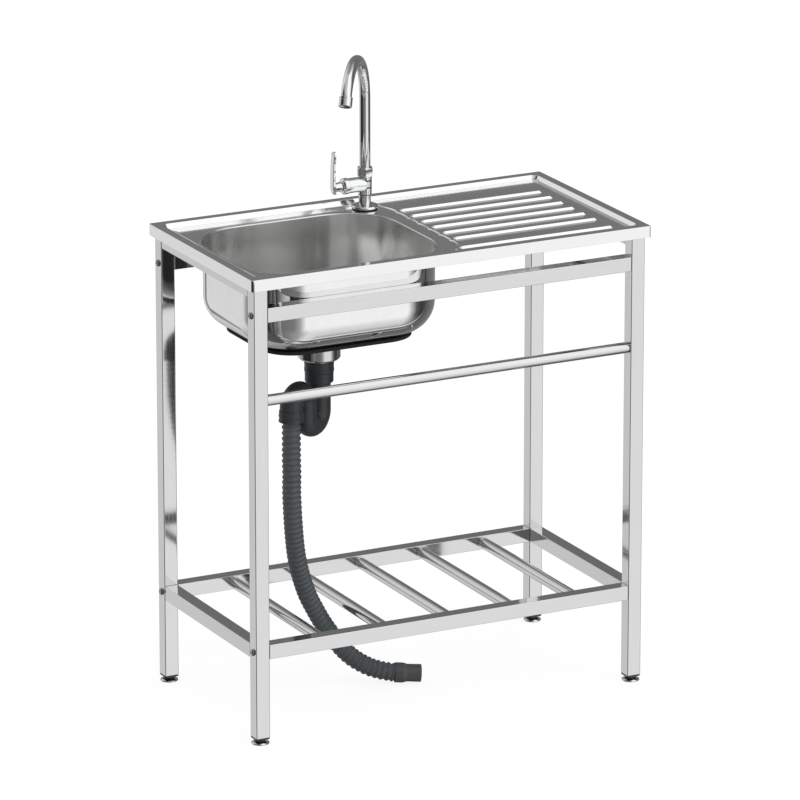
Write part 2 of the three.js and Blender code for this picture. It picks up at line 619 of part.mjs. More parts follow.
// ---- Tap ----
function tapBlockProfile() {
  const profile = [[SHANK_DIAMETER, -SHANK_LENGTH - SHEET], [SHANK_DIAMETER, 0],
    [COLUMN_DIAMETER, SHEET], [COLUMN_DIAMETER, BLOCK_BOTTOM - 1], [BLOCK_DIAMETER, BLOCK_BOTTOM]];
  for (let groove = 0; groove < BLOCK_GROOVES; groove += 1) {
    const z = BLOCK_BOTTOM + GROOVE_PITCH * (groove + 1) - GROOVE_WIDTH / 2;
    const floor = BLOCK_DIAMETER - 2 * GROOVE_DEPTH;
    profile.push([BLOCK_DIAMETER, z], [floor, z], [floor, z + GROOVE_WIDTH],
      [BLOCK_DIAMETER, z + GROOVE_WIDTH]);
  }
  const neck = BLOCK_TOP + NECK_HEIGHT;
  return [...profile, [BLOCK_DIAMETER, BLOCK_TOP], [SPOUT_BEAD_DIAMETER, BLOCK_TOP],
    [SPOUT_BEAD_DIAMETER, neck], [TAP_BORE, neck], [TAP_BORE, -SHANK_LENGTH - SHEET]];
}

// Turns a piece made along +Z so that it points along -X, at the height of the valve barrel.
function alongBarrel(geometry) {
  return geometry.rotateY(-Math.PI / 2).translate(0, 0, BARREL_HEIGHT);
}

function tapBody() {
  const column = solidOf(turnedRing(tapBlockProfile(), 20));
  const barrel = solidOf(alongBarrel(cylinder(BARREL_DIAMETER, 0, BARREL_REACH, 20)));
  const waterway = solidOf(cylinder(TAP_BORE, 0, BLOCK_TOP, 20));
  const socket = cylinder(BARREL_BORE, BARREL_BORE_START, BARREL_REACH + CUT_OVER, 16);
  const port = cylinder(TAP_BORE / 2, 0, BARREL_REACH, 8);
  return geometryOf(cutBy(
    joined(column, barrel), waterway, solidOf(alongBarrel(socket)), solidOf(alongBarrel(port))));
}

function tapFlange() {
  const bore = COLUMN_DIAMETER + 2 * RUN_GAP;
  const shoulder = TAP_FLANGE_DIAMETER - 3;
  return turnedRing([
    [bore, 0], [TAP_FLANGE_DIAMETER, 0], [TAP_FLANGE_DIAMETER, TAP_FLANGE_HEIGHT / 2],
    [shoulder, TAP_FLANGE_HEIGHT], [bore, TAP_FLANGE_HEIGHT]], 24);
}

function bonnetRing() {
  const [spindleHole, seat] = [SPINDLE_DIAMETER + 2 * RUN_GAP, BARREL_DIAMETER + 2 * RUN_GAP];
  const shoulder = BARREL_REACH + SEAT_GAP;
  const face = BONNET_DIAMETER - 2 * BONNET_CHAMFER;
  return alongBarrel(turnedRing([
    [seat, BONNET_START], [BONNET_DIAMETER, BONNET_START],
    [BONNET_DIAMETER, BONNET_END - BONNET_CHAMFER], [face, BONNET_END],
    [spindleHole, BONNET_END], [spindleHole, shoulder], [seat, shoulder]], 20));
}

// The lever: a round-ended upright blade on a hub that fits the spindle.
function lever() {
  const tip = BLADE_WIDTH / 2;
  const outline = new THREE.Shape();
  outline.absarc(0, BLADE_ABOVE - tip, tip, 0, Math.PI);
  outline.lineTo(-tip, 0);
  outline.absarc(0, tip - BLADE_BELOW, tip, Math.PI, 2 * Math.PI);
  outline.closePath();
  const blade = new THREE.ExtrudeGeometry(
    outline, { depth: BLADE_THICKNESS, bevelEnabled: false, curveSegments: 6 });
  blade.rotateX(Math.PI / 2).rotateZ(-Math.PI / 2);
  blade.translate(-BLADE_DISTANCE, 0, BARREL_HEIGHT);
  const hub = alongBarrel(cylinder(HUB_DIAMETER, BONNET_END + SEAT_GAP, BLADE_DISTANCE + 1, 16));
  const bore = alongBarrel(cylinder(SPINDLE_DIAMETER + 2 * RUN_GAP, BONNET_END, BLADE_DISTANCE, 12));
  return geometryOf(cutBy(joined(solidOf(blade), solidOf(hub)), solidOf(bore)));
}

function swivelNut() {
  const nut = solidOf(prism(hexagon(NUT_ACROSS), 0, NUT_HEIGHT, 1));
  const pocket = cylinder(SPOUT_BEAD_DIAMETER + 2 * RUN_GAP, -CUT_OVER, NUT_HEIGHT - NUT_LIP, 16);
  const hole = cylinder(SPOUT_DIAMETER + 2 * RUN_GAP, 0, NUT_HEIGHT + CUT_OVER, 16);
  return geometryOf(cutBy(nut, solidOf(pocket), solidOf(hole)));
}

const YAW = THREE.MathUtils.degToRad(SPOUT_YAW);
const SPOUT_SIDE = new THREE.Vector3(-Math.sin(YAW), -Math.cos(YAW), 0);
const UP = new THREE.Vector3(0, 0, 1);

function spoutStations(tail) {
  const bend = bendStations(
    new THREE.Vector3(0, 0, SPOUT_BEND_HEIGHT), UP, SPOUT_SIDE, SPOUT_RADIUS, SPOUT_SWEEP, 12);
  const end = bend[bend.length - 1];
  const point = end.point.clone().add(end.direction.clone().multiplyScalar(tail));
  return [...bend, { point, direction: end.direction.clone() }];
}

function spout() {
  const start = SPOUT_BOTTOM - DECK_Z;
  const bottom = { point: new THREE.Vector3(0, 0, start), direction: UP.clone() };
  const path = new StationPath([bottom, ...spoutStations(SPOUT_TAIL)]);
  const section = annulus(SPOUT_DIAMETER, SPOUT_DIAMETER - 2 * SPOUT_WALL);
  const tube = sweep(section, path, path.stations.length - 1, 6);
  const beadTop = NUT_BOTTOM - DECK_Z + NUT_HEIGHT - NUT_LIP - SEAT_GAP;
  const bead = plainRing(SPOUT_BEAD_DIAMETER, SPOUT_DIAMETER - SPOUT_WALL, start, beadTop, 12);
  return geometryOf(joined(solidOf(tube), solidOf(bead)));
}

function aerator() {
  const bore = SPOUT_DIAMETER + 2 * RUN_GAP;
  const step = SPOUT_TAIL + SEAT_GAP;
  return turnedRing([
    [bore, 0], [AERATOR_DIAMETER, 0], [AERATOR_DIAMETER, AERATOR_LENGTH],
    [AERATOR_BORE, AERATOR_LENGTH], [AERATOR_BORE, step], [bore, step]], 20);
}

function addAerator() {
  const end = spoutStations(0)[12];
  const mesh = place('aerator', aerator(), CHROME, TAP_X + end.point.x, TAP_Y + end.point.y,
    DECK_Z + end.point.z);
  mesh.quaternion.setFromUnitVectors(UP, end.direction);
}

function hexNut(across, height, bore) {
  const nut = solidOf(prism(hexagon(across), 0, height, 1));
  return geometryOf(cutBy(nut, solidOf(cylinder(bore, -CUT_OVER, height + CUT_OVER, 16))));
}

function addTap() {
  const column = COLUMN_DIAMETER + 2 * RUN_GAP;
  const shank = SHANK_DIAMETER + 2 * RUN_GAP;
  const spindle = cylinder(SPINDLE_DIAMETER, BARREL_BORE_START + 3, BLADE_DISTANCE - SEAT_GAP, 12);
  const cartridge = plainRing(BARREL_BORE - 2 * RUN_GAP, SPINDLE_DIAMETER + 2 * RUN_GAP,
    BARREL_BORE_START + SEAT_GAP, CARTRIDGE_END, 16);
  const gasket = plainRing(TAP_FLANGE_DIAMETER - 3, column, 0, TAP_GASKET, 24);
  const flangeZ = DECK_Z + TAP_GASKET + 2 * SEAT_GAP;
  const washerZ = UNDERSIDE_Z - SEAT_GAP - WASHER_THICKNESS;
  const nutZ = washerZ - SEAT_GAP - DECK_NUT_HEIGHT;
  const washer = plainRing(WASHER_DIAMETER, shank, 0, WASHER_THICKNESS, 20);
  place('tap_body', tapBody(), CHROME, TAP_X, TAP_Y, DECK_Z);
  place('tap_gasket', gasket, RUBBER, TAP_X, TAP_Y, DECK_Z + SEAT_GAP);
  place('tap_flange', tapFlange(), CHROME, TAP_X, TAP_Y, flangeZ);
  place('tap_washer', washer, RUBBER, TAP_X, TAP_Y, washerZ);
  place('tap_deck_nut', hexNut(DECK_NUT_ACROSS, DECK_NUT_HEIGHT, shank), BRASS, TAP_X, TAP_Y, nutZ);
  place('valve_cartridge', alongBarrel(cartridge), CERAMIC, TAP_X, TAP_Y, DECK_Z);
  place('valve_spindle', alongBarrel(spindle), BRASS, TAP_X, TAP_Y, DECK_Z);
  place('bonnet_ring', bonnetRing(), CHROME, TAP_X, TAP_Y, DECK_Z);
  place('tap_lever', lever(), CHROME, TAP_X, TAP_Y, DECK_Z);
  place('swivel_nut', swivelNut(), CHROME, TAP_X, TAP_Y, NUT_BOTTOM);
  place('spout', spout(), CHROME, TAP_X, TAP_Y, DECK_Z);
  addAerator();
}

addTap();

// ---- Drain ----
function strainerBody() {
  const wall = 2 * STRAINER_WALL;
  const neckBottom = STRAINER_SEAT - STRAINER_NECK_LENGTH;
  const cupFloor = CUP_BOTTOM + STRAINER_WALL;
  const tailEnd = CUP_BOTTOM - TAIL_LENGTH;
  return turnedRing([
    [TAIL_DIAMETER - 2 * wall, tailEnd], [TAIL_DIAMETER, tailEnd],
    [TAIL_DIAMETER, CUP_BOTTOM], [STRAINER_CUP, CUP_BOTTOM],
    [STRAINER_CUP, neckBottom], [STRAINER_NECK, neckBottom], [STRAINER_NECK, STRAINER_SEAT],
    [STRAINER_FLANGE, STRAINER_SEAT], [STRAINER_FLANGE - 2, STRAINER_TOP],
    [STRAINER_NECK - wall, STRAINER_TOP], [STRAINER_NECK - wall, LEDGE_Z],
    [STRAINER_CUP - wall, LEDGE_Z], [STRAINER_CUP - wall, cupFloor],
    [TAIL_DIAMETER - 2 * wall, cupFloor]], 24);
}

function strainerBasket() {
  const rim = STRAINER_NECK - 2 * STRAINER_WALL - 2 * RUN_GAP;
  const [rimBottom, floor] = [LEDGE_Z + SEAT_GAP, BASKET_BOTTOM + BASKET_WALL];
  const [inside, post] = [BASKET_CUP - 2 * BASKET_WALL, KNOB_DIAMETER / 2];
  const cup = turned([
    [0, BASKET_BOTTOM], [BASKET_CUP, BASKET_BOTTOM], [BASKET_CUP, rimBottom], [rim, rimBottom],
    [rim, rimBottom + BASKET_WALL], [inside, rimBottom + BASKET_WALL], [inside, floor],
    [post, floor], [post, KNOB_TOP - post], [KNOB_DIAMETER, KNOB_TOP - post],
    [KNOB_DIAMETER, KNOB_TOP - 2], [post, KNOB_TOP], [0, KNOB_TOP]], 24);
  const holes = [];
  for (let index = 0; index < BASKET_HOLES; index += 1) {
    const angle = (index * 2 * Math.PI) / BASKET_HOLES;
    const hole = cylinder(BASKET_HOLE, BASKET_BOTTOM - CUT_OVER, floor + CUT_OVER, 8);
    const ring = BASKET_HOLE_RING / 2;
    holes.push(solidOf(hole.translate(ring * Math.cos(angle), ring * Math.sin(angle), 0)));
  }
  return geometryOf(cutBy(solidOf(cup), ...holes));
}

const TRAP_HEADING = THREE.MathUtils.degToRad(TRAP_YAW);
const TRAP_SIDE = new THREE.Vector3(-Math.cos(TRAP_HEADING), -Math.sin(TRAP_HEADING), 0);
const DOWN = new THREE.Vector3(0, 0, -1);

// Down, round a U to a second leg, up and over to a third leg, which faces down.
function trapPipe() {
  const top = new THREE.Vector3(0, 0, TRAP_TOP);
  const low = bendStations(
    new THREE.Vector3(0, 0, TRAP_LOWER_BEND_Z), DOWN, TRAP_SIDE, TRAP_BEND, 180, 8);
  const second = TRAP_SIDE.clone().multiplyScalar(2 * TRAP_BEND).setZ(TRAP_UPPER_BEND_Z);
  const high = bendStations(second, UP, TRAP_SIDE, TRAP_BEND, 180, 8);
  const end = TRAP_SIDE.clone().multiplyScalar(4 * TRAP_BEND).setZ(HOSE_TOP + TRAP_WALL);
  const stations = [{ point: top, direction: DOWN.clone() }, ...low, ...high,
    { point: end, direction: DOWN.clone() }];
  const path = new StationPath(stations);
  const section = annulus(TRAP_DIAMETER - 2 * RUN_GAP, TRAP_DIAMETER - 2 * TRAP_WALL);
  return sweep(section, path, stations.length - 1, 6);
}

// The cup that holds the hose on the trap's last leg.
function hoseConnector() {
  const bore = TRAP_DIAMETER;
  const middle = (CONNECTOR_TOP + HOSE_TOP) / 2;
  const mouth = HOSE_DIAMETER - 4;
  return turnedRing([
    [mouth, HOSE_TOP + SEAT_GAP], [CONNECTOR_LIP, HOSE_TOP + SEAT_GAP],
    [CONNECTOR_DIAMETER, HOSE_TOP + 4], [CONNECTOR_DIAMETER, middle + 2],
    [CONNECTOR_LIP, middle + 4], [CONNECTOR_LIP, CONNECTOR_TOP], [bore, CONNECTOR_TOP],
    [bore, HOSE_TOP + TRAP_WALL - SEAT_GAP], [mouth, HOSE_TOP + TRAP_WALL - SEAT_GAP]], 20);
}

// A drawn point of the hose, at its place in the unit.
function hosePoint([x, y, z]) {
  const end = CUFF_TIP[2];
  const rise = (HOSE_TOP - end) / (HOSE_ROUTE[0][2] - end);
  return new THREE.Vector3(BOWL_X + x, BOWL_Y + y, end + (z - end) * rise);
}

function drainHose() {
  const points = HOSE_ROUTE.map(hosePoint);
  const tip = hosePoint(CUFF_TIP);
  const curve = new THREE.CatmullRomCurve3(points);
  const stations = [];
  for (let step = 0; step <= HOSE_STEPS; step += 1) {
    const share = step / HOSE_STEPS;
    stations.push({ point: curve.getPointAt(share), direction: curve.getTangentAt(share) });
  }
  stations[0].direction.copy(DOWN);
  const last = stations[HOSE_STEPS];
  last.direction.copy(tip).sub(last.point).normalize();
  const section = new THREE.Shape().absarc(0, 0, HOSE_DIAMETER / 2, 0, 2 * Math.PI);
  return sweep(section, new StationPath(stations), HOSE_STEPS, 5);
}

function addCuff() {
  const start = hosePoint(HOSE_ROUTE[HOSE_ROUTE.length - 1]);
  const heading = hosePoint(CUFF_TIP).sub(start);
  const length = heading.length();
  heading.normalize();
  const cuff = turnedRing([
    [CUFF_BORE, SEAT_GAP], [CUFF_COLLAR_DIAMETER, SEAT_GAP],
    [CUFF_COLLAR_DIAMETER, CUFF_COLLAR_LENGTH], [CUFF_DIAMETER, CUFF_COLLAR_LENGTH],
    [CUFF_DIAMETER, length], [CUFF_BORE, length]], 16);
  place('hose_cuff', cuff, HOSE_PLASTIC, start.x, start.y, start.z)
    .quaternion.setFromUnitVectors(UP, heading);
}

function addDrain() {
  const gasketTop = BOWL_FLOOR - SHEET - SEAT_GAP;
  const locknutTop = gasketTop - STRAINER_GASKET - SEAT_GAP;
  const neck = STRAINER_NECK + 2 * RUN_GAP;
  const gasket = plainRing(LOCKNUT_DIAMETER, neck, gasketTop - STRAINER_GASKET, gasketTop, 24);
  const locknut = plainRing(LOCKNUT_DIAMETER, neck, locknutTop - LOCKNUT_HEIGHT, locknutTop, 24);
  const coupling = plainRing(
    COUPLING_DIAMETER, TAIL_DIAMETER + 2 * RUN_GAP, COUPLING_BOTTOM, COUPLING_TOP, 20);
  const collar = plainRing(
    INLET_COLLAR_DIAMETER, TRAP_DIAMETER, TRAP_TOP - INLET_COLLAR_HEIGHT, TRAP_TOP, 20);
  const connector = TRAP_SIDE.clone().multiplyScalar(4 * TRAP_BEND);
  place('strainer_body', strainerBody(), ZINC_STEEL, BOWL_X, BOWL_Y);
  place('strainer_basket', strainerBasket(), ZINC_STEEL, BOWL_X, BOWL_Y);
  place('strainer_gasket', gasket, RUBBER, BOWL_X, BOWL_Y);
  place('strainer_locknut', locknut, BLACK_PLASTIC, BOWL_X, BOWL_Y);
  place('tail_coupling', coupling, BLACK_PLASTIC, BOWL_X, BOWL_Y);
  place('trap_collar', collar, BLACK_PLASTIC, BOWL_X, BOWL_Y);
  place('trap_pipe', trapPipe(), BLACK_PLASTIC, BOWL_X, BOWL_Y);
  place('hose_connector', hoseConnector(), BLACK_PLASTIC, BOWL_X + connector.x, BOWL_Y + connector.y);
  place('drain_hose', drainHose(), HOSE_PLASTIC);
  addCuff();
}

addDrain();

export default group;
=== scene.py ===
"""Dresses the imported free-standing kitchen sink unit for the picture: a pressed steel top with
one bowl and a ribbed drainboard, on a frame of square steel tube, with tap, trap and drain hose.
Sizes are in millimetres and become metres when a mesh is made. The front faces -Y."""
import math

import bmesh
import bpy
import numpy as np
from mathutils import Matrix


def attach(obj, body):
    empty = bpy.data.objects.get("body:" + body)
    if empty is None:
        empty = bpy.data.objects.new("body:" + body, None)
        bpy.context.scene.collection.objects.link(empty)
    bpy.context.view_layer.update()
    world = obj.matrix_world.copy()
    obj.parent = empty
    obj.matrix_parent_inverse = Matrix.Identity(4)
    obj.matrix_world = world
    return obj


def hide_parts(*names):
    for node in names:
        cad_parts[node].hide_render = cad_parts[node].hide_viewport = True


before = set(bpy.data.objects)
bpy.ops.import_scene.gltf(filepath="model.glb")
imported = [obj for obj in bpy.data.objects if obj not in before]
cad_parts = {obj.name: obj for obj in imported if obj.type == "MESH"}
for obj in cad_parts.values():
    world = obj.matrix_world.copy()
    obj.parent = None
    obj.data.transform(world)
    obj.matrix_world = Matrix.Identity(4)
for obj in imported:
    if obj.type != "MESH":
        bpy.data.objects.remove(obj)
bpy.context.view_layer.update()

# ---- Sizes, as in the part's source ----
MM = 0.001
RIM, BOARD, DECK = 815.0, 808.0, 806.0      # rim, drainboard and deck above the floor
TOP_LENGTH, TOP_DEPTH, APRON = 750.0, 400.0, 20.0
SHEET = 1.0
BOWL_X, BOWL_Y = -159.5, -12.5
OPENING_LENGTH, OPENING_DEPTH, OPENING_CORNER = 363.0, 319.0, 100.0
BOWL_FLOOR = 660.0
LEG_X, LEG_Y, LEG, LEG_TOP, LEG_BOTTOM = 355.0, 180.0, 25.0, 804.7, 12.0
RAIL_WIDTH, RAIL_HEIGHT = 24.0, 25.0
CROSS_Z, SHELF_Z, BAR_Z, SIDE_Z = 749.5, 163.0, 600.0, 790.7
TAP_X, TAP_Y, BARREL_Z = 10.0, 151.0, 849.2
DRAIN = (BOWL_X, BOWL_Y, 0.0)
RIB_LINES = [98.0 - 39.7 * i for i in range(6)] + [-156.5]
RIB_LEFT, RIB_RIGHT, RIB_WIDTH = 50.8, 323.5, 10.0
RIB_RISE, RIB_FLANK = 4.0, 4.0              # how high a rib rises, and over what width it does
FRONT_RIB_EXTRA = 18.0                      # how much further left the front rib starts
TONGUE, TONGUE_RIGHT = 8.0, 326.0           # past a rib's left end, and where the tongue ends
DECK_PANEL, DECK_PANEL_X = (750.0, 374.0, 80.0), -328.5     # length, width, corner; middle
TAP_PAD, STEP_RUN = 28.0, 2.2
OPEN_CORNER = (-371.8, -198.6)              # inner bounds of the open fold in the apron
SLAT_START, SLAT_PITCH = BOWL_X - 75, 121.2
TRAP_SIDE = np.array([-math.cos(math.radians(33)), -math.sin(math.radians(33)), 0.0])

# ---- The camera: where the photograph was taken from, in metres ----
YAW, PITCH = math.radians(27.03), math.radians(16.94)
AHEAD = np.array([math.sin(YAW) * math.cos(PITCH), math.cos(YAW) * math.cos(PITCH), -math.sin(PITCH)])
ACROSS = np.array([math.cos(YAW), -math.sin(YAW), 0.0])
LENS, SENSOR = 304.54, 36.0                 # in millimetres, as Blender has them
TARGET = np.array([0, 0, 0.45])
CAMERA_DISTANCE, SHIFT_RIGHT, SHIFT_UP = 11.55156, 0.00026, 0.05252
camera = bpy.data.objects.new("photo_camera", bpy.data.cameras.new("photo_camera"))
camera.data.lens, camera.data.sensor_width = LENS, SENSOR
camera.data.clip_end = 60.0
camera.location = (TARGET - AHEAD * CAMERA_DISTANCE + ACROSS * SHIFT_RIGHT
                   + np.cross(ACROSS, AHEAD) * SHIFT_UP)
camera.rotation_euler = (math.pi / 2 - PITCH, 0, -YAW)
bpy.context.scene.collection.objects.link(camera)
bpy.context.scene.camera = camera


# ---- Surfaces ----
def grid(points, wrap_rows=False, wrap_columns=True):
    """The quads that join each point of a rows x columns array to its neighbours."""
    rows, columns = points.shape[:2]
    i, j = np.meshgrid(np.arange(rows - (not wrap_rows)), np.arange(columns - (not wrap_columns)),
                       indexing="ij")
    i, j = i.ravel(), j.ravel()
    below, beside = (i + 1) % rows, (j + 1) % columns
    quads = np.stack([i * columns + j, i * columns + beside, below * columns + beside,
                      below * columns + j], -1)
    return points.reshape(-1, 3), quads


def rounded(profile, radius=0.5, steps=3, closed=False):
    """A profile whose corners are cut back by radius on both sides and joined by parabolas:
    point = (1 - t)^2 start + 2 t (1 - t) corner + t^2 end. A support point stands just outside
    each end of the parabola, which keeps the faces beside it flat."""
    p = np.array(profile, float)

    def towards(q, reach):
        step = q - p
        length = np.linalg.norm(step, axis=1, keepdims=True)
        return p + step * np.minimum(reach, length * 0.45) / np.maximum(length, 1e-9)

    before, after = np.roll(p, 1, 0), np.roll(p, -1, 0)
    start, end = towards(before, radius)[:, None], towards(after, radius)[:, None]
    t = np.linspace(0, 1, steps + 1)[None, :, None]
    bend = (1 - t) ** 2 * start + 2 * t * (1 - t) * p[:, None] + t ** 2 * end
    bend = np.concatenate([towards(before, radius + 0.2)[:, None], bend,
                           towards(after, radius + 0.2)[:, None]], 1)
    if closed:
        return bend.reshape(-1, 2)
    return np.vstack([p[:1], bend[1:-1].reshape(-1, 2), p[-1:]])


def turned(profile, sides=48, across=None, turn=0.0):
    """A turned surface about +Z: point = (r cos a, r sin a, z) for each profile pair (r, z).
    With across, r is at most the reach of a hexagon of that width: across / 2 / cos(a'), where
    a' is the angle from the nearest flat of the hexagon, which stands turned by some degrees."""
    r, z = np.array(profile, float).T
    a = np.arange(sides) * 2 * np.pi / sides
    radius = np.repeat(r[:, None], sides, 1)
    if across is not None:
        flat = (a - np.radians(turn)) % (np.pi / 3) - np.pi / 6
        radius = np.minimum(radius, across / 2 / np.cos(flat))
    heights = np.repeat(z[:, None], sides, 1)
    return np.stack([radius * np.cos(a), radius * np.sin(a), heights], -1)


def rectangle(length, width, radius, steps=6, flat=(0.03, 0.25, 0.5, 0.75, 0.97)):
    """A rectangle with round corners: each corner is centre + r (cos a, sin a), and the flat
    after it has a point at each share f of its length: (1 - f) start + f end."""
    corner = np.arange(4)
    signs = np.array([[1, 1], [-1, 1], [-1, -1], [1, -1]])
    centre = signs * [length / 2 - radius, width / 2 - radius]
    a = (corner[:, None] + np.linspace(0, 1, steps + 1)) * np.pi / 2
    arc = centre[:, None] + radius * np.stack([np.cos(a), np.sin(a)], -1)
    f = np.array(flat)[:, None]
    flats = arc[:, -1:] * (1 - f) + np.roll(arc[:, :1], -1, 0) * f
    return np.concatenate([arc, flats], 1).reshape(-1, 2)


def lofted(loops, heights):
    """Loops of (x, y), one above the other at the given heights."""
    levels = np.repeat(np.array(heights, float)[:, None, None], len(loops[0]), 1)
    return np.concatenate([np.stack(loops), levels], -1)


def bar(loop, start, end, axis, centre):
    """A straight bar: the loop runs along one axis, and shrinks to 0.97 of its size and then to
    a point at each end. centre gives the bar's place on the other two axes."""
    along = np.array([start, start, start + 0.5, start + 1, end - 1, end - 0.5, end, end])
    size = np.array([0, 0.965, 0.995, 1, 1, 0.995, 0.965, 0])
    across = loop[None] * size[:, None, None] + np.array(centre, float)
    run = np.repeat(along[:, None, None], len(loop), 1)
    u, v = across[..., :1], across[..., 1:]
    order = {"x": (run, u, v), "y": (u, run, v), "z": (u, v, run)}[axis]
    return np.concatenate(order, -1)


def carried(path, section, side):
    """A section carried along a path: point = path + u N + v B. T is the path's direction, N is
    side made square to T, and B = T x N. The section may differ from station to station."""
    t = np.gradient(path, axis=0)
    t /= np.linalg.norm(t, axis=1, keepdims=True)
    n = side - (t @ side)[:, None] * t
    n /= np.linalg.norm(n, axis=1, keepdims=True)
    b = np.cross(t, n)
    section = np.broadcast_to(section, (len(path),) + section.shape[-2:])
    return path[:, None] + section[..., :1] * n[:, None] + section[..., 1:] * b[:, None]


def circle(radii, sides=32):
    """Circles of the given radii, one for each station of a path: r (cos a, sin a)."""
    a = np.arange(sides) * 2 * np.pi / sides
    ring = np.stack([np.cos(a), np.sin(a)], -1)
    return np.atleast_1d(np.array(radii, float))[:, None, None] * ring


def aimed(points, origin, direction, side):
    """Points made about +Z, turned so that +Z is direction and +X is side, and moved to origin."""
    d = np.array(direction, float) / np.linalg.norm(direction)
    s = side - (d @ side) * d
    s /= np.linalg.norm(s)
    return (np.array(origin) + points[..., :1] * s + points[..., 1:2] * np.cross(d, s)
            + points[..., 2:] * d)


def even(path, step):
    """The same path with points at equal steps of its length."""
    length = np.r_[0, np.cumsum(np.linalg.norm(np.diff(path, axis=0), axis=1))]
    at = np.linspace(0, length[-1], max(2, int(round(length[-1] / step)) + 1))
    return np.stack([np.interp(at, length, path[:, k]) for k in range(3)], -1)


def through(points, steps=24):
    """A smooth line through points: between two of them, half the sum of 2 p1, (p2 - p0) t,
    (2 p0 - 5 p1 + 4 p2 - p3) t^2 and (3 p1 - p0 - 3 p2 + p3) t^3."""
    p = np.array(points, float)
    p = np.vstack([2 * p[0] - p[1], p, 2 * p[-1] - p[-2]])
    p0, p1, p2, p3 = (p[k:len(p) - 3 + k, None] for k in range(4))
    t = np.linspace(0, 1, steps, endpoint=False)[None, :, None]
    line = 0.5 * (2 * p1 + (p2 - p0) * t + (2 * p0 - 5 * p1 + 4 * p2 - p3) * t ** 2
                  + (3 * p1 - p0 - 3 * p2 + p3) * t ** 3)
    return np.vstack([line.reshape(-1, 3), p[-2:-1]])


def bend(start, direction, side, radius, degrees, steps=40):
    """An arc: start + r sin(a) direction + r (1 - cos(a)) side, for a from 0 to the angle."""
    a = np.radians(np.linspace(0, degrees, steps))[:, None]
    return start + radius * np.sin(a) * direction + radius * (1 - np.cos(a)) * side


def capped(points):
    """A closed solid from open rings: a row that is only the middle of the ring at each end."""
    first, last = (np.repeat(points[k].mean(0)[None, None], points.shape[1], 1) for k in (0, -1))
    return np.concatenate([first, points, last])


def piece(name, surfaces, materials, body, nodes, sheet=0.0, smooth=38, index=None):
    """A piece from one or more (points, quads) surfaces in millimetres. Doubles are merged, which
    closes seams and poles. A solid gets its faces turned outwards. A sheet keeps its own sides
    and gets its thickness below them."""
    offsets = np.cumsum([0] + [len(points) for points, _ in surfaces])
    points = np.concatenate([points for points, _ in surfaces]) * MM
    quads = np.concatenate([quads + offset for (_, quads), offset in zip(surfaces, offsets)])
    which = np.concatenate([np.full(len(quads_), 0 if index is None else index[k], np.int32)
                            for k, (_, quads_) in enumerate(surfaces)])
    mesh = bpy.data.meshes.new(name)
    mesh.vertices.add(len(points))
    mesh.vertices.foreach_set("co", points.astype(np.float32).ravel())
    mesh.loops.add(quads.size)
    mesh.loops.foreach_set("vertex_index", quads.astype(np.int32).ravel())
    mesh.polygons.add(len(quads))
    mesh.polygons.foreach_set("loop_start", np.arange(0, quads.size, 4, dtype=np.int32))
    mesh.polygons.foreach_set("material_index", which)
    mesh.update(calc_edges=True)
    work = bmesh.new()
    work.from_mesh(mesh)
    bmesh.ops.remove_doubles(work, verts=work.verts, dist=2e-6)
    bmesh.ops.dissolve_degenerate(work, edges=work.edges, dist=1e-7)
    if not sheet:
        bmesh.ops.recalc_face_normals(work, faces=work.faces)
    work.to_mesh(mesh)
    work.free()
    mesh.shade_smooth()
    mesh.set_sharp_from_angle(angle=math.radians(smooth))
    made = bpy.data.objects.new(name, mesh)
    bpy.context.scene.collection.objects.link(made)
    for material in materials:
        mesh.materials.append(material)
    if sheet:
        wall = made.modifiers.new("sheet thickness", "SOLIDIFY")
        wall.thickness, wall.offset = sheet * MM, -1.0
        wall.material_offset = len(materials) - 1
    if nodes:
        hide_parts(*nodes)
    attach(made, body)
    return made


# ---- Materials ----
def srgb(code):
    """A hex colour as linear red, green, blue and 1."""
    parts = [int(code[k:k + 2], 16) / 255 for k in (1, 3, 5)]
    return [c / 12.92 if c <= 0.04045 else ((c + 0.055) / 1.055) ** 2.4 for c in parts] + [1.0]


def add(tree, kind, inputs=None, stops=None, **settings):
    """Adds a node: settings are its properties, inputs gives each socket a number, a colour or
    the output socket that feeds it, and stops are the places and colours of a ramp."""
    node = tree.nodes.new(kind)
    for key, value in settings.items():
        setattr(node, key, value)
    for key, value in (inputs or {}).items():
        if isinstance(value, bpy.types.NodeSocket):
            tree.links.new(value, node.inputs[key])
        else:
            node.inputs[key].default_value = value
    if stops:
        while len(node.color_ramp.elements) < len(stops):
            node.color_ramp.elements.new(0.5)
        for element, (place, level) in zip(node.color_ramp.elements, stops):
            element.position = place
            element.color = level if isinstance(level, (list, tuple)) else (level, level, level, 1)
    return node


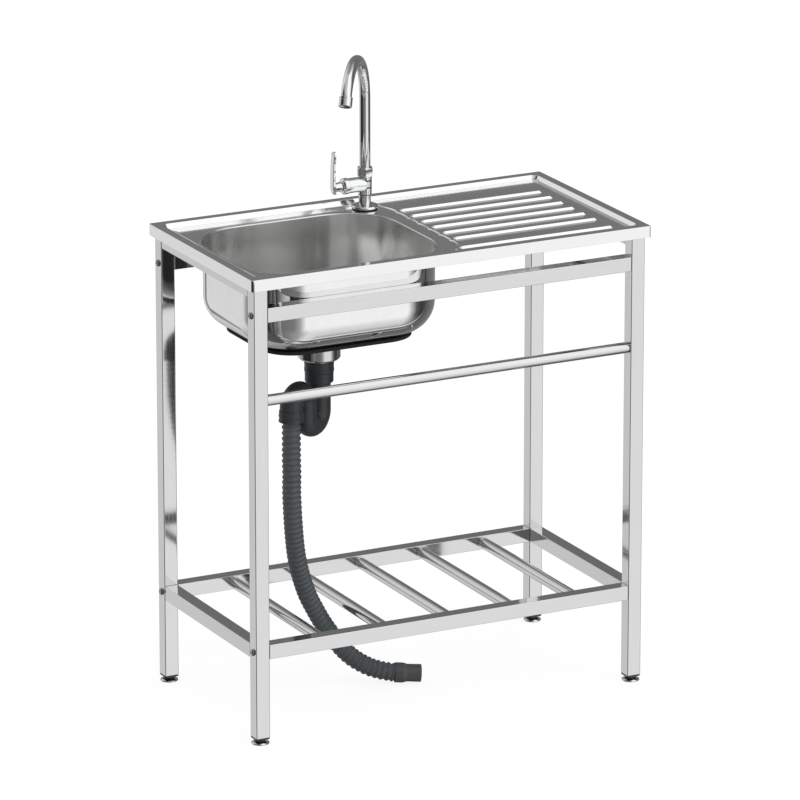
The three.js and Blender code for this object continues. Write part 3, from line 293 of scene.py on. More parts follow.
def finish(name, dark, light, metallic, rough, stretch, bump, wave=None, **shader):
    """A procedural finish. A noise, stretched by three numbers that are one over its size in
    metres, mixes the two colours and moves the roughness between the two in rough, and its finer
    copy is the bump, in millimetres. wave adds a slow bump of (size in metres, depth in mm)."""
    material = bpy.data.materials.new(name)
    material.use_nodes = True
    tree = material.node_tree
    tree.nodes.clear()
    place = add(tree, "ShaderNodeTexCoord").outputs["Object"]
    spread = add(tree, "ShaderNodeMapping", {"Vector": place, "Scale": stretch}).outputs[0]
    noise = add(tree, "ShaderNodeTexNoise", {"Vector": spread, "Scale": 1.0, "Detail": 3.0})
    fine = add(tree, "ShaderNodeTexNoise", {"Vector": spread, "Scale": 3.0, "Detail": 2.0})
    tone = add(tree, "ShaderNodeValToRGB", {0: noise.outputs[0]},
               [(0.3, srgb(dark)), (0.7, srgb(light))]).outputs[0]
    gloss = add(tree, "ShaderNodeMapRange", {0: noise.outputs[0], 1: 0.3, 2: 0.7,
                                             3: rough[0], 4: rough[1]}).outputs[0]
    height = add(tree, "ShaderNodeBump", {"Height": fine.outputs[0], "Distance": bump * MM,
                                          "Strength": 1.0}).outputs[0]
    if wave:
        size, depth = wave
        slow = add(tree, "ShaderNodeMapping",
                   {"Vector": place, "Scale": [1 / s for s in size]}).outputs[0]
        swell = add(tree, "ShaderNodeTexNoise", {"Vector": slow, "Scale": 1.0, "Detail": 0.0})
        height = add(tree, "ShaderNodeBump", {"Height": swell.outputs[0], "Distance": depth * MM,
                                              "Strength": 1.0, "Normal": height}).outputs[0]
    surface = add(tree, "ShaderNodeBsdfPrincipled",
                  {"Base Color": tone, "Roughness": gloss, "Normal": height,
                   "Metallic": metallic, **shader})
    add(tree, "ShaderNodeOutputMaterial", {"Surface": surface.outputs[0]})
    return material


# Stainless sheet, brushed along its length and then pressed. The grit lines are 0.1 mm apart,
# too fine for the picture, and are drawn 1.5 mm apart and very shallow.
TOP_STEEL = finish("brushed_stainless_sheet", "#F4F4F4", "#F8F8F8", 1.0, (0.11, 0.14),
                   (12, 650, 650), 0.0003)
# The rolled rim of the same sheet, burnished along its edge by the roller.
RIM_STEEL = finish("burnished_stainless_rim", "#F4F4F4", "#F8F8F8", 1.0, (0.09, 0.11),
                   (12, 650, 650), 0.0002)
# Deep-drawn stainless, satin inside. Drawing leaves soft upright bands, about 40 mm apart.
BOWL_INSIDE = finish("satin_drawn_stainless", "#E6E6E5", "#E9E9E8", 1.0, (0.22, 0.25),
                     (120, 120, 6), 0.0001, wave=((0.040, 0.040, 0.6), 0.04))
# The same sheet outside, left mirror bright by the die. It waves a little.
BOWL_OUTSIDE = finish("die_bright_stainless", "#F0F0F0", "#F5F5F5", 1.0, (0.03, 0.05),
                      (40, 40, 40), 0.0, wave=((0.09, 0.09, 0.12), 0.06))
# Welded stainless square tube, belt polished along its length.
TUBE_UPRIGHT = finish("polished_stainless_tube_upright", "#DBDBDB", "#DFDFDF", 1.0, (0.07, 0.10),
                      (500, 500, 9), 0.0003, wave=((0.05, 0.05, 0.35), 0.01))
TUBE_LENGTHWISE = finish("polished_stainless_tube_lengthwise", "#DBDBDB", "#DFDFDF", 1.0,
                         (0.07, 0.10), (9, 500, 500), 0.0003, wave=((0.35, 0.05, 0.05), 0.01))
TUBE_CROSSWISE = finish("polished_stainless_tube_crosswise", "#DBDBDB", "#DFDFDF", 1.0,
                        (0.07, 0.10), (500, 9, 500), 0.0003, wave=((0.05, 0.35, 0.05), 0.01))
# Chrome plate over brass: a mirror, with the faintest orange peel.
CHROME = finish("chrome_plate", "#E8E9EA", "#ECEDEE", 1.0, (0.01, 0.03), (60, 60, 60), 0.0,
                wave=((0.02, 0.02, 0.04), 0.001))
# Zinc plate on small steel parts: duller than chrome and slightly blue.
ZINC = finish("zinc_plated_steel", "#B4B7BA", "#C8CACC", 1.0, (0.22, 0.34), (300, 300, 300), 0.01)
# Spun stainless of the strainer: rings left by the tool, drawn 1 mm apart.
SPUN_STEEL = finish("spun_stainless", "#D6D6D5", "#DEDEDD", 1.0, (0.08, 0.12), (30, 30, 1000), 0.0006)
# Zinc plate left bright on the bolts, with a slight wave over each head.
BOLT_PLATE = finish("bright_zinc_plate", "#A2A4A7", "#B0B2B5", 1.0, (0.06, 0.12),
                    (300, 300, 300), 0.004)
BRASS = finish("cast_brass", "#A8925A", "#BEA86C", 1.0, (0.3, 0.42), (250, 250, 250), 0.03)
# Moulded polypropylene: near black, a soft sheen and a fine moulded grain.
BLACK_PLASTIC = finish("moulded_polypropylene", "#2E3033", "#37393D", 0.0, (0.36, 0.46),
                       (900, 900, 900), 0.02, IOR=1.49)
# Blown polyethylene of the hose: greyer and less shiny, with a dusty look.
HOSE_PLASTIC = finish("blown_polyethylene", "#484C4F", "#53575A", 0.0, (0.46, 0.58),
                      (220, 220, 220), 0.05, IOR=1.51)
CUFF_PLASTIC = finish("soft_moulded_vinyl", "#45464A", "#4D4E52", 0.0, (0.42, 0.52),
                      (500, 500, 500), 0.03, IOR=1.52)
# Bitumen and rubber pad: matt black, slightly grainy.
PAD_RUBBER = finish("bitumen_pad", "#131416", "#1E1F21", 0.0, (0.7, 0.85), (400, 400, 400), 0.15,
                    IOR=1.5)
RUBBER = finish("sealing_rubber", "#121212", "#1D1D1D", 0.0, (0.6, 0.75), (500, 500, 500), 0.05,
                IOR=1.52)
CERAMIC = finish("valve_acetal", "#DDDAD2", "#E8E6DF", 0.0, (0.3, 0.4), (400, 400, 400), 0.02,
                 IOR=1.48)

# ---- The drain hose: a free cord, so it comes first ----
HOSE_ROUTE = [
    (-77.2, -50.1, 517), (-77.2, -50.1, 485), (-76.5, -48.5, 453), (-74.5, -45.5, 421),
    (-72.5, -40.5, 390), (-68.5, -34.5, 359), (-63.5, -27.5, 328), (-57.5, -19.5, 298),
    (-50.5, -11.5, 268), (-41.5, -3.5, 239), (-30.5, 4.5, 210), (-17.5, 11.5, 181),
    (-2.5, 16.5, 154), (13.5, 20.5, 127), (31.5, 23.5, 101), (50.5, 23.5, 75),
    (72.5, 21.5, 52), (98.5, 16.5, 34), (120.5, 11.3, 24.6), (142.5, 5.1, 18.8)]
CUFF_TIP = np.array([187.5, -12.5, 15.9]) + DRAIN
CORRUGATION = 10.0
HOSE_SIDE = np.array([0.0, 1.0, 0.0])

hose_line = even(through(np.array(HOSE_ROUTE) + DRAIN), CORRUGATION / 10)
hose_length = np.linalg.norm(np.diff(hose_line, axis=0), axis=1).sum()


def corrugated(count):
    """Radius along the hose: 13.8 mm in a groove plus 2.6 mm times the rounded crest
    (half of 1 + cos 2 pi s / pitch) to the power 0.8, at s along the line."""
    s = np.linspace(0, hose_length, count)
    return 13.8 + 2.6 * (0.5 + 0.5 * np.cos(2 * np.pi * s / CORRUGATION)) ** 0.8


hose = piece("corrugated_drain_hose",
             [grid(capped(carried(hose_line, circle(corrugated(len(hose_line)), 32), HOSE_SIDE)))],
             [HOSE_PLASTIC], "sink_unit", ["drain_hose"], smooth=60)

cuff_start = hose_line[-1]
cuff_length = float(np.linalg.norm(CUFF_TIP - cuff_start))
cuff = turned(rounded([(11.5, 0.3), (14.6, 0.3), (14.6, 2.6), (17.3, 2.6), (17.5, 4.0), (17.4, 17.0),
                       (16.0, 21.5), (15.3, 23.5), (15.4, cuff_length), (11.5, cuff_length)],
                      0.8, closed=True))
cuff_piece = piece("hose_end_cuff",
                   [grid(aimed(cuff, cuff_start, CUFF_TIP - cuff_start, HOSE_SIDE), wrap_rows=True)],
                   [CUFF_PLASTIC], "sink_unit", ["hose_cuff"])


# ---- Sink top ----
def distance(x, y, length, width, radius):
    """Signed distance to a rectangle with round corners about the origin, negative inside, and
    its direction: with q = |p| - half size + r, it is |max(q, 0)| + min(max(q), 0) - r."""
    q = np.stack([np.abs(x) - length / 2 + radius, np.abs(y) - width / 2 + radius], -1)
    outside = np.maximum(q, 0)
    reach = np.linalg.norm(outside, axis=-1)
    d = reach + np.minimum(q.max(-1), 0) - radius
    corner = (reach > 1e-6)[..., None]
    flat = np.where(q[..., :1] > q[..., 1:], [1.0, 0.0], [0.0, 1.0])
    towards = np.where(corner, outside / np.maximum(reach, 1e-6)[..., None], flat)
    return d, towards * np.sign(np.stack([x, y], -1) + 1e-12)


def ease(t):
    """Smooth step: t^2 (3 - 2 t) on t clipped to 0 and 1."""
    t = np.clip(t, 0, 1)
    return t * t * (3 - 2 * t)


def ramp(t):
    """A straight ramp with barely eased ends: 0.85 t + 0.15 times the smooth step of t."""
    return 0.85 * np.clip(t, 0, 1) + 0.15 * ease(t)


def floor_height(x, y):
    """Height of the sunken floor. The drainboard is 2 mm above the deck, with a step that rises
    over STEP_RUN across the deck's outline and round the tap. Each rib rises over RIB_FLANK
    inside its outline, and a low tongue runs on from its left end over the step."""
    deck, _ = distance(x - DECK_PANEL_X, y, *DECK_PANEL)
    tap_pad = np.hypot(x - TAP_X, y - TAP_Y) - TAP_PAD
    board = ramp(np.minimum(deck, tap_pad) / STEP_RUN + 0.5)
    rise = np.zeros_like(x)
    for line in RIB_LINES:
        left = RIB_LEFT - (FRONT_RIB_EXTRA if line == RIB_LINES[-1] else 0)
        low, _ = distance(x - (left - TONGUE + TONGUE_RIGHT) / 2, y - line,
                          TONGUE_RIGHT + TONGUE - left, RIB_WIDTH, 3)
        board = np.maximum(board, ramp(-low / 2.0))
        d, _ = distance(x - (RIB_RIGHT + left) / 2, y - line, RIB_RIGHT - left, RIB_WIDTH, 2.0)
        rise = np.maximum(rise, RIB_RISE * ramp(-d / RIB_FLANK))
    return DECK + (BOARD - DECK) * board + rise


RIM_PROFILE = np.vstack([rounded([(0, RIM - APRON), (0, RIM - APRON + 0.4), (0, RIM), (16, RIM),
                                  (20, DECK), (28.3, DECK), (28.9, DECK)], 0.6, 4),
                         [(29.4, DECK)]])


def rim_loops():
    """The rim: rectangles set in from the top's outline by the profile's first number, at its
    second. Past the rim's middle the drop is scaled to reach the floor's own height, and the
    last rectangle lies 0.06 mm under it."""
    shares = np.linspace(0.004, 0.996, 132)
    loops = []
    for inset, z in RIM_PROFILE:
        corner = np.interp(inset, [0, 0.6, 15, 17, 21, 30], [3, 2.5, 12, 11.5, 8, 4])
        loop = rectangle(TOP_LENGTH - 2 * inset, TOP_DEPTH - 2 * inset, corner, 10, shares)
        heights = np.full((len(loop), 1), z)
        if inset > 8:
            drop = (RIM - z) / (RIM - DECK)
            heights = RIM - drop * (RIM - floor_height(loop[:, :1], loop[:, 1:]))
            heights -= 0.06 if inset > 29 else 0.0
        loops.append(np.hstack([loop, heights]))
    return np.stack(loops)


def slit(points, quads):
    """The folded apron stays open for 3 mm at its front left corner, up to the rim."""
    middle = points[quads].mean(1)
    open_ = (middle < (*OPEN_CORNER, RIM - 1.0)).all(1)
    return points, quads[~open_]


def floor_lines(bounds, steps):
    """Grid lines with their own spacing in each stretch between bounds."""
    stretches = [np.arange(a, b, step) for a, b, step in zip(bounds[:-1], bounds[1:], steps)]
    return np.unique(np.round(np.concatenate(stretches + [[bounds[-1]]]), 3))


def sink_floor():
    """The sunken floor as a height over a grid that is fine at the ribs and steps. Quads inside
    the bowl's opening are left out, and the points along the cut move onto its outline."""
    xs = floor_lines([-346, -40, 25, 40, 56, 64, 314, 326, 346], [6, 1.3, 1, 0.5, 1.5, 8, 0.8, 3.2])
    flank = np.array([5.6, 5.15, 4.85, 4.4, 3.7, 3.0, 2.2, 1.5, 1.15, 0.85, 0.4])
    fine = np.concatenate([line + np.r_[-flank, flank] for line in RIB_LINES])
    coarse = floor_lines([-171, -105, 105, 171], [3, 5, 1.2])
    near = np.abs(coarse[:, None] - np.array(RIB_LINES)).min(1)
    ys = np.sort(np.concatenate([coarse[near > 6.2], fine]))
    x, y = np.meshgrid(xs, ys, indexing="ij")
    points, quads = grid(np.stack([x, y, floor_height(x, y)], -1), wrap_columns=False)
    opening = (OPENING_LENGTH + 2, OPENING_DEPTH + 2, OPENING_CORNER + 1)
    middle = points[quads].mean(1)
    gone = distance(middle[:, 0] - BOWL_X, middle[:, 1] - BOWL_Y, *opening)[0] < 0
    kept = np.zeros(len(points), bool)
    lost = np.zeros(len(points), bool)
    kept[quads[~gone].ravel()] = True
    lost[quads[gone].ravel()] = True
    edge = kept & lost
    d, towards = distance(points[edge, 0] - BOWL_X, points[edge, 1] - BOWL_Y, *opening)
    points[edge, :2] -= d[:, None] * towards
    used, quads = np.unique(quads[~gone], return_inverse=True)
    return points[used], quads.reshape(-1, 4)[:, ::-1]


rim_points, rim_quads = grid(rim_loops())
rim_points, rim_quads = slit(rim_points, rim_quads)
piece("sink_top_rim", [(rim_points, rim_quads)], [RIM_STEEL], "sink_unit", ["sink_top"],
      sheet=SHEET)
# A thin strip of black rubber stands just behind the open corner fold. It is painted shade: it stands
# for the dark inside the fold and seals nothing.
piece("painted_shade_strip_in_corner_fold", [grid(bar(rectangle(2.8, 2.2, 0.5), 795.4, 813.6, "z",
                                       (-373.2, -198.4)))],
      [RUBBER], "sink_unit", [])
piece("sink_top_floor", [sink_floor()], [TOP_STEEL], "sink_unit", ["sink_top"],
      sheet=SHEET, smooth=60)


# ---- Bowl ----
def bowl_rows():
    """The bowl's section as (inset from the opening, height): a thin flange on the deck, a rolled
    lip of 2.4 mm, a wall that draws in by 3 mm, a 54 mm fillet, and the floor."""
    lip = np.radians(np.linspace(0, 90, 9))
    fillet = np.radians(np.linspace(0, 90, 20))
    return np.vstack([
        [(-2.6, DECK - 0.3), (-2.5, DECK + 0.1), (-2.2, DECK + 0.18), (-0.9, DECK + 0.18)],
        np.stack([-0.4 + 2.4 * np.sin(lip), DECK + 0.18 - 2.4 * (1 - np.cos(lip))], -1),
        [(2.4, 799.0), (3.4, 788.0), (4.4, 776.0), (5.1, 764.0), (5.2, 745.0), (5.2, 716.0)],
        np.stack([59.2 - 54 * np.cos(fillet), 714 - 54 * np.sin(fillet)], -1),
        [(61.0, BOWL_FLOOR)]])


def bowl_surface():
    """Rectangles with round corners by the section's insets, and then a floor that turns evenly
    from the last rectangle into the round drain hole."""
    shares = np.linspace(0.02, 0.98, 24)
    loops = []
    for inset, z in bowl_rows():
        loop = rectangle(OPENING_LENGTH - 2 * inset, OPENING_DEPTH - 2 * inset,
                         max(OPENING_CORNER - inset, 12), 20, shares)
        loops.append(np.hstack([loop, np.full((len(loop), 1), z)]))
    last = loops[-1][:, :2]
    ring = last / np.linalg.norm(last, axis=1, keepdims=True)
    for share, radius in [(0.25, 58), (0.5, 58), (0.75, 58), (1, 58), (1, 56.5), (1, 50), (1, 45)]:
        loop = last * (1 - share) + ring * radius * share
        loops.append(np.hstack([loop, np.full((len(loop), 1), BOWL_FLOOR)]))
    points = np.stack(loops)
    points[..., :2] += (BOWL_X, BOWL_Y)
    return points


piece("drawn_bowl", [grid(bowl_surface())], [BOWL_INSIDE, BOWL_OUTSIDE], "sink_unit", ["sink_bowl"],
      sheet=SHEET, smooth=50)

pad_loops = [rectangle(278 - 2 * i, 234 - 2 * i, 60 - i, 12) + (BOWL_X, BOWL_Y)
             for i in (77.0, 1.5, 0.4, 0.0, 0.0, 0.4, 1.5, 77.0)]
pad_heights = [651.7, 651.7, 652.1, 653.0, 656.8, 657.6, 658.0, 658.5]
pad = lofted(pad_loops, pad_heights)
hole = 62 * (pad[0, :, :2] - DRAIN[:2]) / np.linalg.norm(pad[0, :, :2] - DRAIN[:2], axis=1)[:, None]
pad[[0, -1], :, :2] = hole + DRAIN[:2]
piece("sound_pad_under_bowl", [grid(pad, wrap_rows=True)], [PAD_RUBBER], "sink_unit", ["sound_pad"])

# ---- Frame ----
SIDES, ENDS = {"left": -1, "right": 1}, {"front": -1, "back": 1}
LEG_LOOP = rectangle(LEG, LEG, 1.3)
RAIL_LOOP = rectangle(RAIL_WIDTH, RAIL_HEIGHT, 0.9)
PIPE_LOOP, SLAT_LOOP = circle([9.5], 64)[0], circle([10.0], 64)[0]
CROSS_END = LEG_X - LEG / 2 - 0.3
SIDE_END = LEG_Y - LEG / 2 - 0.3
SLAT_END = LEG_Y - RAIL_WIDTH / 2 - 0.3


def bolt_head():
    """A turned pan head about +Z, pointing away from its seat, with a hexagonal socket in it."""
    shank = turned([(0, -34.3), (2.6, -34.3), (3.0, -33.8), (3.0, -0.2)], 24)
    head = turned(rounded([(3.0, 0.0), (6.0, 0.0), (6.0, 1.7), (4.6, 3.2), (2.35, 3.5)], 0.5), 24)
    socket = turned([(2.2, 3.45), (2.2, 1.6), (0, 1.5)], 24, across=3.6)
    return np.concatenate([shank, head, socket])


def foot_profile():
    """The levelling foot's disc and dome, from the middle of its underside out and up."""
    return rounded([(0, 0), (14.5, 0), (15.5, 0.9), (15.5, 2.2), (12.2, 4.2), (9.0, 5.2), (7.5, 5.4),
                    (0, 5.4)], 0.45)


def stud(bottom, top):
    """A threaded stud: radius 5 mm less 0.45 mm times the thread's wave of 1.5 mm pitch."""
    z = np.arange(bottom, top, 0.25)
    radius = 5 - 0.45 * (0.5 + 0.5 * np.cos(2 * np.pi * z / 1.5))
    return turned(np.vstack([[(0, bottom)], np.stack([radius, z], -1), [(0, top)]]), 24)


def add_corner(end, side):
    """One leg with its plug, foot and two bolts."""
    corner = f"{end}_{side}"
    x, y = SIDES[side] * LEG_X, ENDS[end] * LEG_Y
    piece(f"square_leg_{corner}", [grid(bar(LEG_LOOP, LEG_BOTTOM, LEG_TOP, "z", (x, y)))],
          [TUBE_UPRIGHT], "sink_unit", [f"leg_{corner}"])
    flange = lofted([rectangle(s, s, r) for s, r in
                     [(12, 2), (24, 2), (25, 2.5), (25, 2.5), (24.2, 2.2), (21.6, 1.3), (21.6, 1.3),
                      (12, 1.3)]], [9, 9, 9.5, 11.2, 11.7, 11.8, 29.6, 29.6])
    flange[[0, -1], :, :2] *= (5.3 / np.linalg.norm(flange[[0, -1], :, :2], axis=-1))[..., None]
    piece(f"leg_end_plug_{corner}", [grid(flange + (x, y, 0), wrap_rows=True)], [BLACK_PLASTIC],
          "sink_unit", [f"leg_plug_{corner}"])
    hub = turned(rounded([(0, 5.3), (8.0, 5.3), (7.4, 6.4), (7.4, 8.7), (0, 8.7)], 0.3), 36, 14.2)
    piece(f"screw_foot_{corner}",
          [grid(turned(foot_profile()) + (x, y, 0)), grid(hub + (x, y, 0)),
           grid(stud(8.6, 36) + (x, y, 0))], [CHROME, BLACK_PLASTIC, ZINC], f"foot_{corner}",
          [f"levelling_foot_{corner}"], index=[0, 1, 2])
    for level, z in [("top", CROSS_Z), ("shelf", SHELF_Z)]:
        seat = (x + SIDES[side] * (LEG / 2 + 0.1), y, z)
        head = aimed(bolt_head(), seat, (SIDES[side], 0, 0), np.array([0, 0, 1.0]))
        piece(f"pan_bolt_{level}_{corner}", [grid(head)], [BOLT_PLATE], "sink_unit",
              [f"bolt_{level}_{corner}"])


for side in SIDES:
    for end in ENDS:
        add_corner(end, side)
    for level, z in [("top", SIDE_Z), ("shelf", SHELF_Z)]:
        piece(f"side_tube_{level}_{side}",
              [grid(bar(RAIL_LOOP, -SIDE_END, SIDE_END, "y", (SIDES[side] * LEG_X, z)))],
              [TUBE_CROSSWISE], "sink_unit", [f"side_rail_{level}_{side}"])
for end in ENDS:
    for level, z in [("top", CROSS_Z), ("shelf", SHELF_Z)]:
        piece(f"cross_tube_{level}_{end}",
              [grid(bar(RAIL_LOOP, -CROSS_END, CROSS_END, "x", (ENDS[end] * LEG_Y, z)))],
              [TUBE_LENGTHWISE], "sink_unit", [f"cross_rail_{level}_{end}"])
for slat in range(5):
    centre = (SLAT_START + SLAT_PITCH * slat, SHELF_Z)
    piece(f"shelf_tube_{slat + 1}", [grid(bar(SLAT_LOOP, -SLAT_END, SLAT_END, "y", centre))],
          [TUBE_CROSSWISE], "sink_unit", [f"shelf_slat_{slat + 1}"])
piece("towel_tube", [grid(bar(PIPE_LOOP, -CROSS_END, CROSS_END, "x", (-LEG_Y, BAR_Z)))],
      [TUBE_LENGTHWISE], "sink_unit", ["towel_bar"])

# ---- Tap ----
TAP = np.array([TAP_X, TAP_Y, DECK])
UP = np.array([0.0, 0.0, 1.0])
SPOUT_SIDE = np.array([-math.sin(math.radians(38)), -math.cos(math.radians(38)), 0.0])
SPOUT_ACROSS = np.cross(UP, SPOUT_SIDE)


def barrel(points):
    """Points made about +Z, turned to lie along the valve barrel, which points along -X."""
    return np.stack([-points[..., 2], points[..., 1], points[..., 0]], -1) + (TAP_X, TAP_Y, BARREL_Z)


column = [(6.0, -45.0), (10.2, -45.0), (10.2, 0.0), (10.3, 1.0), (10.3, 24.6), (11.9, 26.2)]
for z in (36.6, 48.9):
    column += [(11.9, z), (10.9, z + 0.1), (10.9, z + 2.5), (11.9, z + 2.6)]
column += [(11.9, 56.7), (11.0, 56.9), (11.0, 59.7), (6.0, 59.7)]
barrel_rows = rounded([(0, 2.0), (12.6, 2.0), (13.0, 4.0), (13.0, 33.0), (12.4, 37.5), (9.0, 37.5),
                       (9.0, 36.0), (0, 36.0)], 0.5)
# The three black plastic rings set in the column's two grooves and in the step under the valve block
# are painted shade: the grooves and the step are real, their dark is painted.
piece("tap_column_and_barrel",
      [grid(turned(rounded(column, 0.3, closed=True), 64) + TAP, wrap_rows=True),
       grid(barrel(turned(barrel_rows, 64)))]
      + [grid(turned(rounded([(10.4, z), (11.7, z), (11.7, z + 2.4), (10.4, z + 2.4)], 0.3,
                             closed=True), 64) + TAP, wrap_rows=True) for z in (24.5, 36.7, 49.0)],
      [CHROME, BLACK_PLASTIC], "sink_unit", ["tap_body"], index=[0, 0, 1, 1, 1])
flange_rows = rounded([(10.6, 2.1), (23.0, 2.1), (23.5, 2.9), (23.5, 4.6), (22.4, 6.4), (19.0, 7.3),
                       (12.5, 8.1), (10.6, 8.1)], 0.5, closed=True)
piece("tap_deck_flange", [grid(turned(flange_rows, 72) + TAP, wrap_rows=True)], [CHROME], "sink_unit",
      ["tap_flange"])
bonnet_rows = rounded([(13.3, 34), (14.2, 34.5), (14.2, 42.0), (11.6, 45.0), (4.3, 45.0), (4.3, 37.8),
                       (13.3, 37.8)], 0.35, closed=True)
piece("chamfered_bonnet", [grid(barrel(turned(bonnet_rows, 64)), wrap_rows=True)], [CHROME],
      "sink_unit", ["bonnet_ring"])


def blade():
    """The lever's blade: at height z a boxed section, 14 mm wide less its round ends and 5 to
    4.4 mm thick, whose middle bows 1.8 (z / 55)^2 towards the tap above the hub and
    4 (z / 13)^2 below it."""
    share = (1 - np.cos(np.linspace(0, np.pi, 48))) / 2
    z = -12.9 + 76.2 * share
    ends = np.sqrt(np.clip(1 - np.clip(np.maximum(z - 56.5, -6.1 - z) / 6.85, 0, 1) ** 2, 0, 1))
    width = np.interp(z, [-13, 4, 64], [13.6, 14, 13.2]) * ends
    thick = np.interp(z, [-13, 4, 64], [4.4, 5.0, 4.6]) * (0.6 + 0.4 * ends) * (ends > 0)
    bow = np.where(z > 0, 1.8 * (z / 55) ** 2, 4 * (z / 13) ** 2) - 61.2
    unit = rectangle(2, 2, 0.36, 8)
    x = TAP_X + bow[:, None] + unit[:, 0] * thick[:, None] / 2
    y = TAP_Y + unit[:, 1] * width[:, None] / 2
    return np.stack([x, y, np.repeat(z[:, None], len(unit), 1) + BARREL_Z], -1)


hub_rows = rounded([(4.3, 45.4), (8.2, 45.4), (8.5, 46.5), (8.2, 52.0), (7.6, 59.3), (0, 59.3),
                    (0, 58.2), (4.3, 58.2)], 0.5)
piece("tap_lever_blade", [grid(capped(blade())), grid(barrel(turned(hub_rows[:-2], 48)))], [CHROME],
      "tap_handle", ["tap_lever"], smooth=60)
nut_rows = rounded([(11.3, 57.2), (12.9, 57.2), (14.5, 58.8), (14.5, 70.4), (12.4, 73.0), (9.9, 73.0),
                    (9.9, 65.5), (11.3, 65.5)], 0.3, closed=True)
piece("hexagonal_swivel_nut", [grid(turned(nut_rows, 96, 25.0, 11.25) + TAP, wrap_rows=True)],
      [CHROME], "sink_unit", ["swivel_nut"], smooth=25)

arc = bend(TAP + 192.6 * UP, UP, SPOUT_SIDE, 85.8, 150, 90)
down = -math.cos(math.radians(30)) * UP + math.sin(math.radians(30)) * SPOUT_SIDE
spout_line = even(np.vstack([TAP + 60 * UP, arc, arc[-1] + 8 * down]), 3)
tube_walls = np.concatenate([carried(spout_line, circle([9.5], 48), SPOUT_ACROSS),
                             carried(spout_line, circle([8.1], 48), SPOUT_ACROSS)[::-1]])
bead_rows = rounded([(8.2, 60.0), (11.0, 60.0), (11.0, 65.2), (8.2, 65.2)], 0.3, closed=True)
piece("swan_neck_spout", [grid(tube_walls, wrap_rows=True),
                          grid(turned(bead_rows, 48) + TAP, wrap_rows=True)],
      [CHROME], "tap_spout", ["spout"], smooth=50)
tip_rows = rounded([(9.8, 0.0), (11.2, 0.0), (11.5, 0.5), (11.5, 4.0), (11.2, 4.3), (11.2, 4.9),
                    (11.5, 5.2), (11.5, 16.4), (10.8, 17.0), (8.9, 17.0), (8.9, 15.0), (7.5, 14.6),
                    (7.5, 8.4), (9.8, 8.4)], 0.2, closed=True)
screen_rows = [(0, 12.4), (7.7, 12.4), (7.7, 14.2), (6.6, 14.4), (6.4, 13.4), (4.6, 13.4),
               (4.4, 14.2), (3.2, 14.2), (3.0, 13.4), (1.5, 13.4), (1.3, 14.2), (0, 14.2)]
piece("spout_aerator",
      [grid(aimed(turned(tip_rows, 64), arc[-1], down, SPOUT_ACROSS), wrap_rows=True),
       grid(aimed(turned(screen_rows, 48), arc[-1], down, SPOUT_ACROSS))],
      [CHROME, BLACK_PLASTIC], "tap_spout", ["aerator"], index=[0, 1])

# ---- Drain ----
strainer_rows = rounded([
    (20.4, 583.0), (22.0, 583.0), (22.0, 604.4), (33.0, 604.4), (36.5, 608.0), (36.5, 640.6),
    (38.0, 641.3), (43.5, 641.3), (43.5, 660.3), (55.4, 660.3), (56.0, 661.0), (54.0, 661.9),
    (45.5, 661.4), (41.9, 659.8), (41.9, 642.9), (36.0, 642.9), (34.9, 642.0), (34.9, 609.0),
    (32.0, 606.0), (20.4, 606.0)], 0.7, closed=True)
piece("strainer_cup", [grid(turned(strainer_rows, 72) + DRAIN, wrap_rows=True)], [SPUN_STEEL],
      "sink_unit", ["strainer_body"])


def basket():
    """The basket as one turned sheet, with slots: quads left out where both the ring and the
    angle fall on a slot."""
    rows = np.array([(3.2, 617.2), (8.0, 616.6), (12, 616.5), (13, 616.5), (18, 616.5), (19, 616.5),
                     (20, 616.5), (26, 616.5), (27, 616.6), (31.0, 617.4), (32.6, 620.0),
                     (32.8, 624.0), (32.8, 626.0), (32.8, 636.0), (32.8, 640.5), (33.2, 642.8),
                     (34.5, 643.7), (38.5, 643.9), (41.2, 644.6), (41.4, 645.6)])
    points, quads = grid(turned(rows, 96))
    ring, column_ = np.divmod(np.arange(len(quads)), 96)
    slot_ = (((ring == 3) & (column_ % 8 < 4)) | ((ring == 6) & (column_ % 6 < 3))
             | ((ring == 12) & (column_ % 8 < 4)))
    return points + DRAIN, quads[~slot_]


knob_rows = rounded([(0, 616.1), (4.2, 616.1), (3.4, 618.0), (3.4, 648.0), (5.0, 650.5), (7.0, 652.0),
                     (7.0, 655.2), (5.6, 657.0), (0, 657.0)], 0.5)
piece("strainer_basket_cup", [basket()], [SPUN_STEEL], "basket", ["strainer_basket"],
      sheet=0.9, smooth=50)
piece("strainer_basket_knob", [grid(turned(knob_rows, 36) + DRAIN)], [ZINC], "basket",
      ["strainer_basket"])


def ribbed_ring(inner, outer, bottom, top, ribs=36, depth=0.8):
    """A collar with grip ribs: between its chamfers the radius is outer less depth times
    0.5 + 0.9 cos(ribs a), clipped to 0 and 1."""
    rows = rounded([(inner, bottom), (outer - 1, bottom), (outer, bottom + 1.2), (outer, top - 1.2),
                    (outer - 1, top), (inner, top)], 0.4, closed=True)
    points = turned(rows, 144)
    a = np.arange(144) * 2 * np.pi / 144
    dip = depth * np.clip(0.5 + 0.9 * np.cos(ribs * a), 0, 1)
    grip = ((rows[:, 0] > outer - 0.05) & (rows[:, 1] > bottom + 2.5) & (rows[:, 1] < top - 2.5))
    scale = np.where(grip[:, None], 1 - dip / outer, 1.0)
    points[..., :2] *= scale[..., None]
    return grid(points + DRAIN, wrap_rows=True)


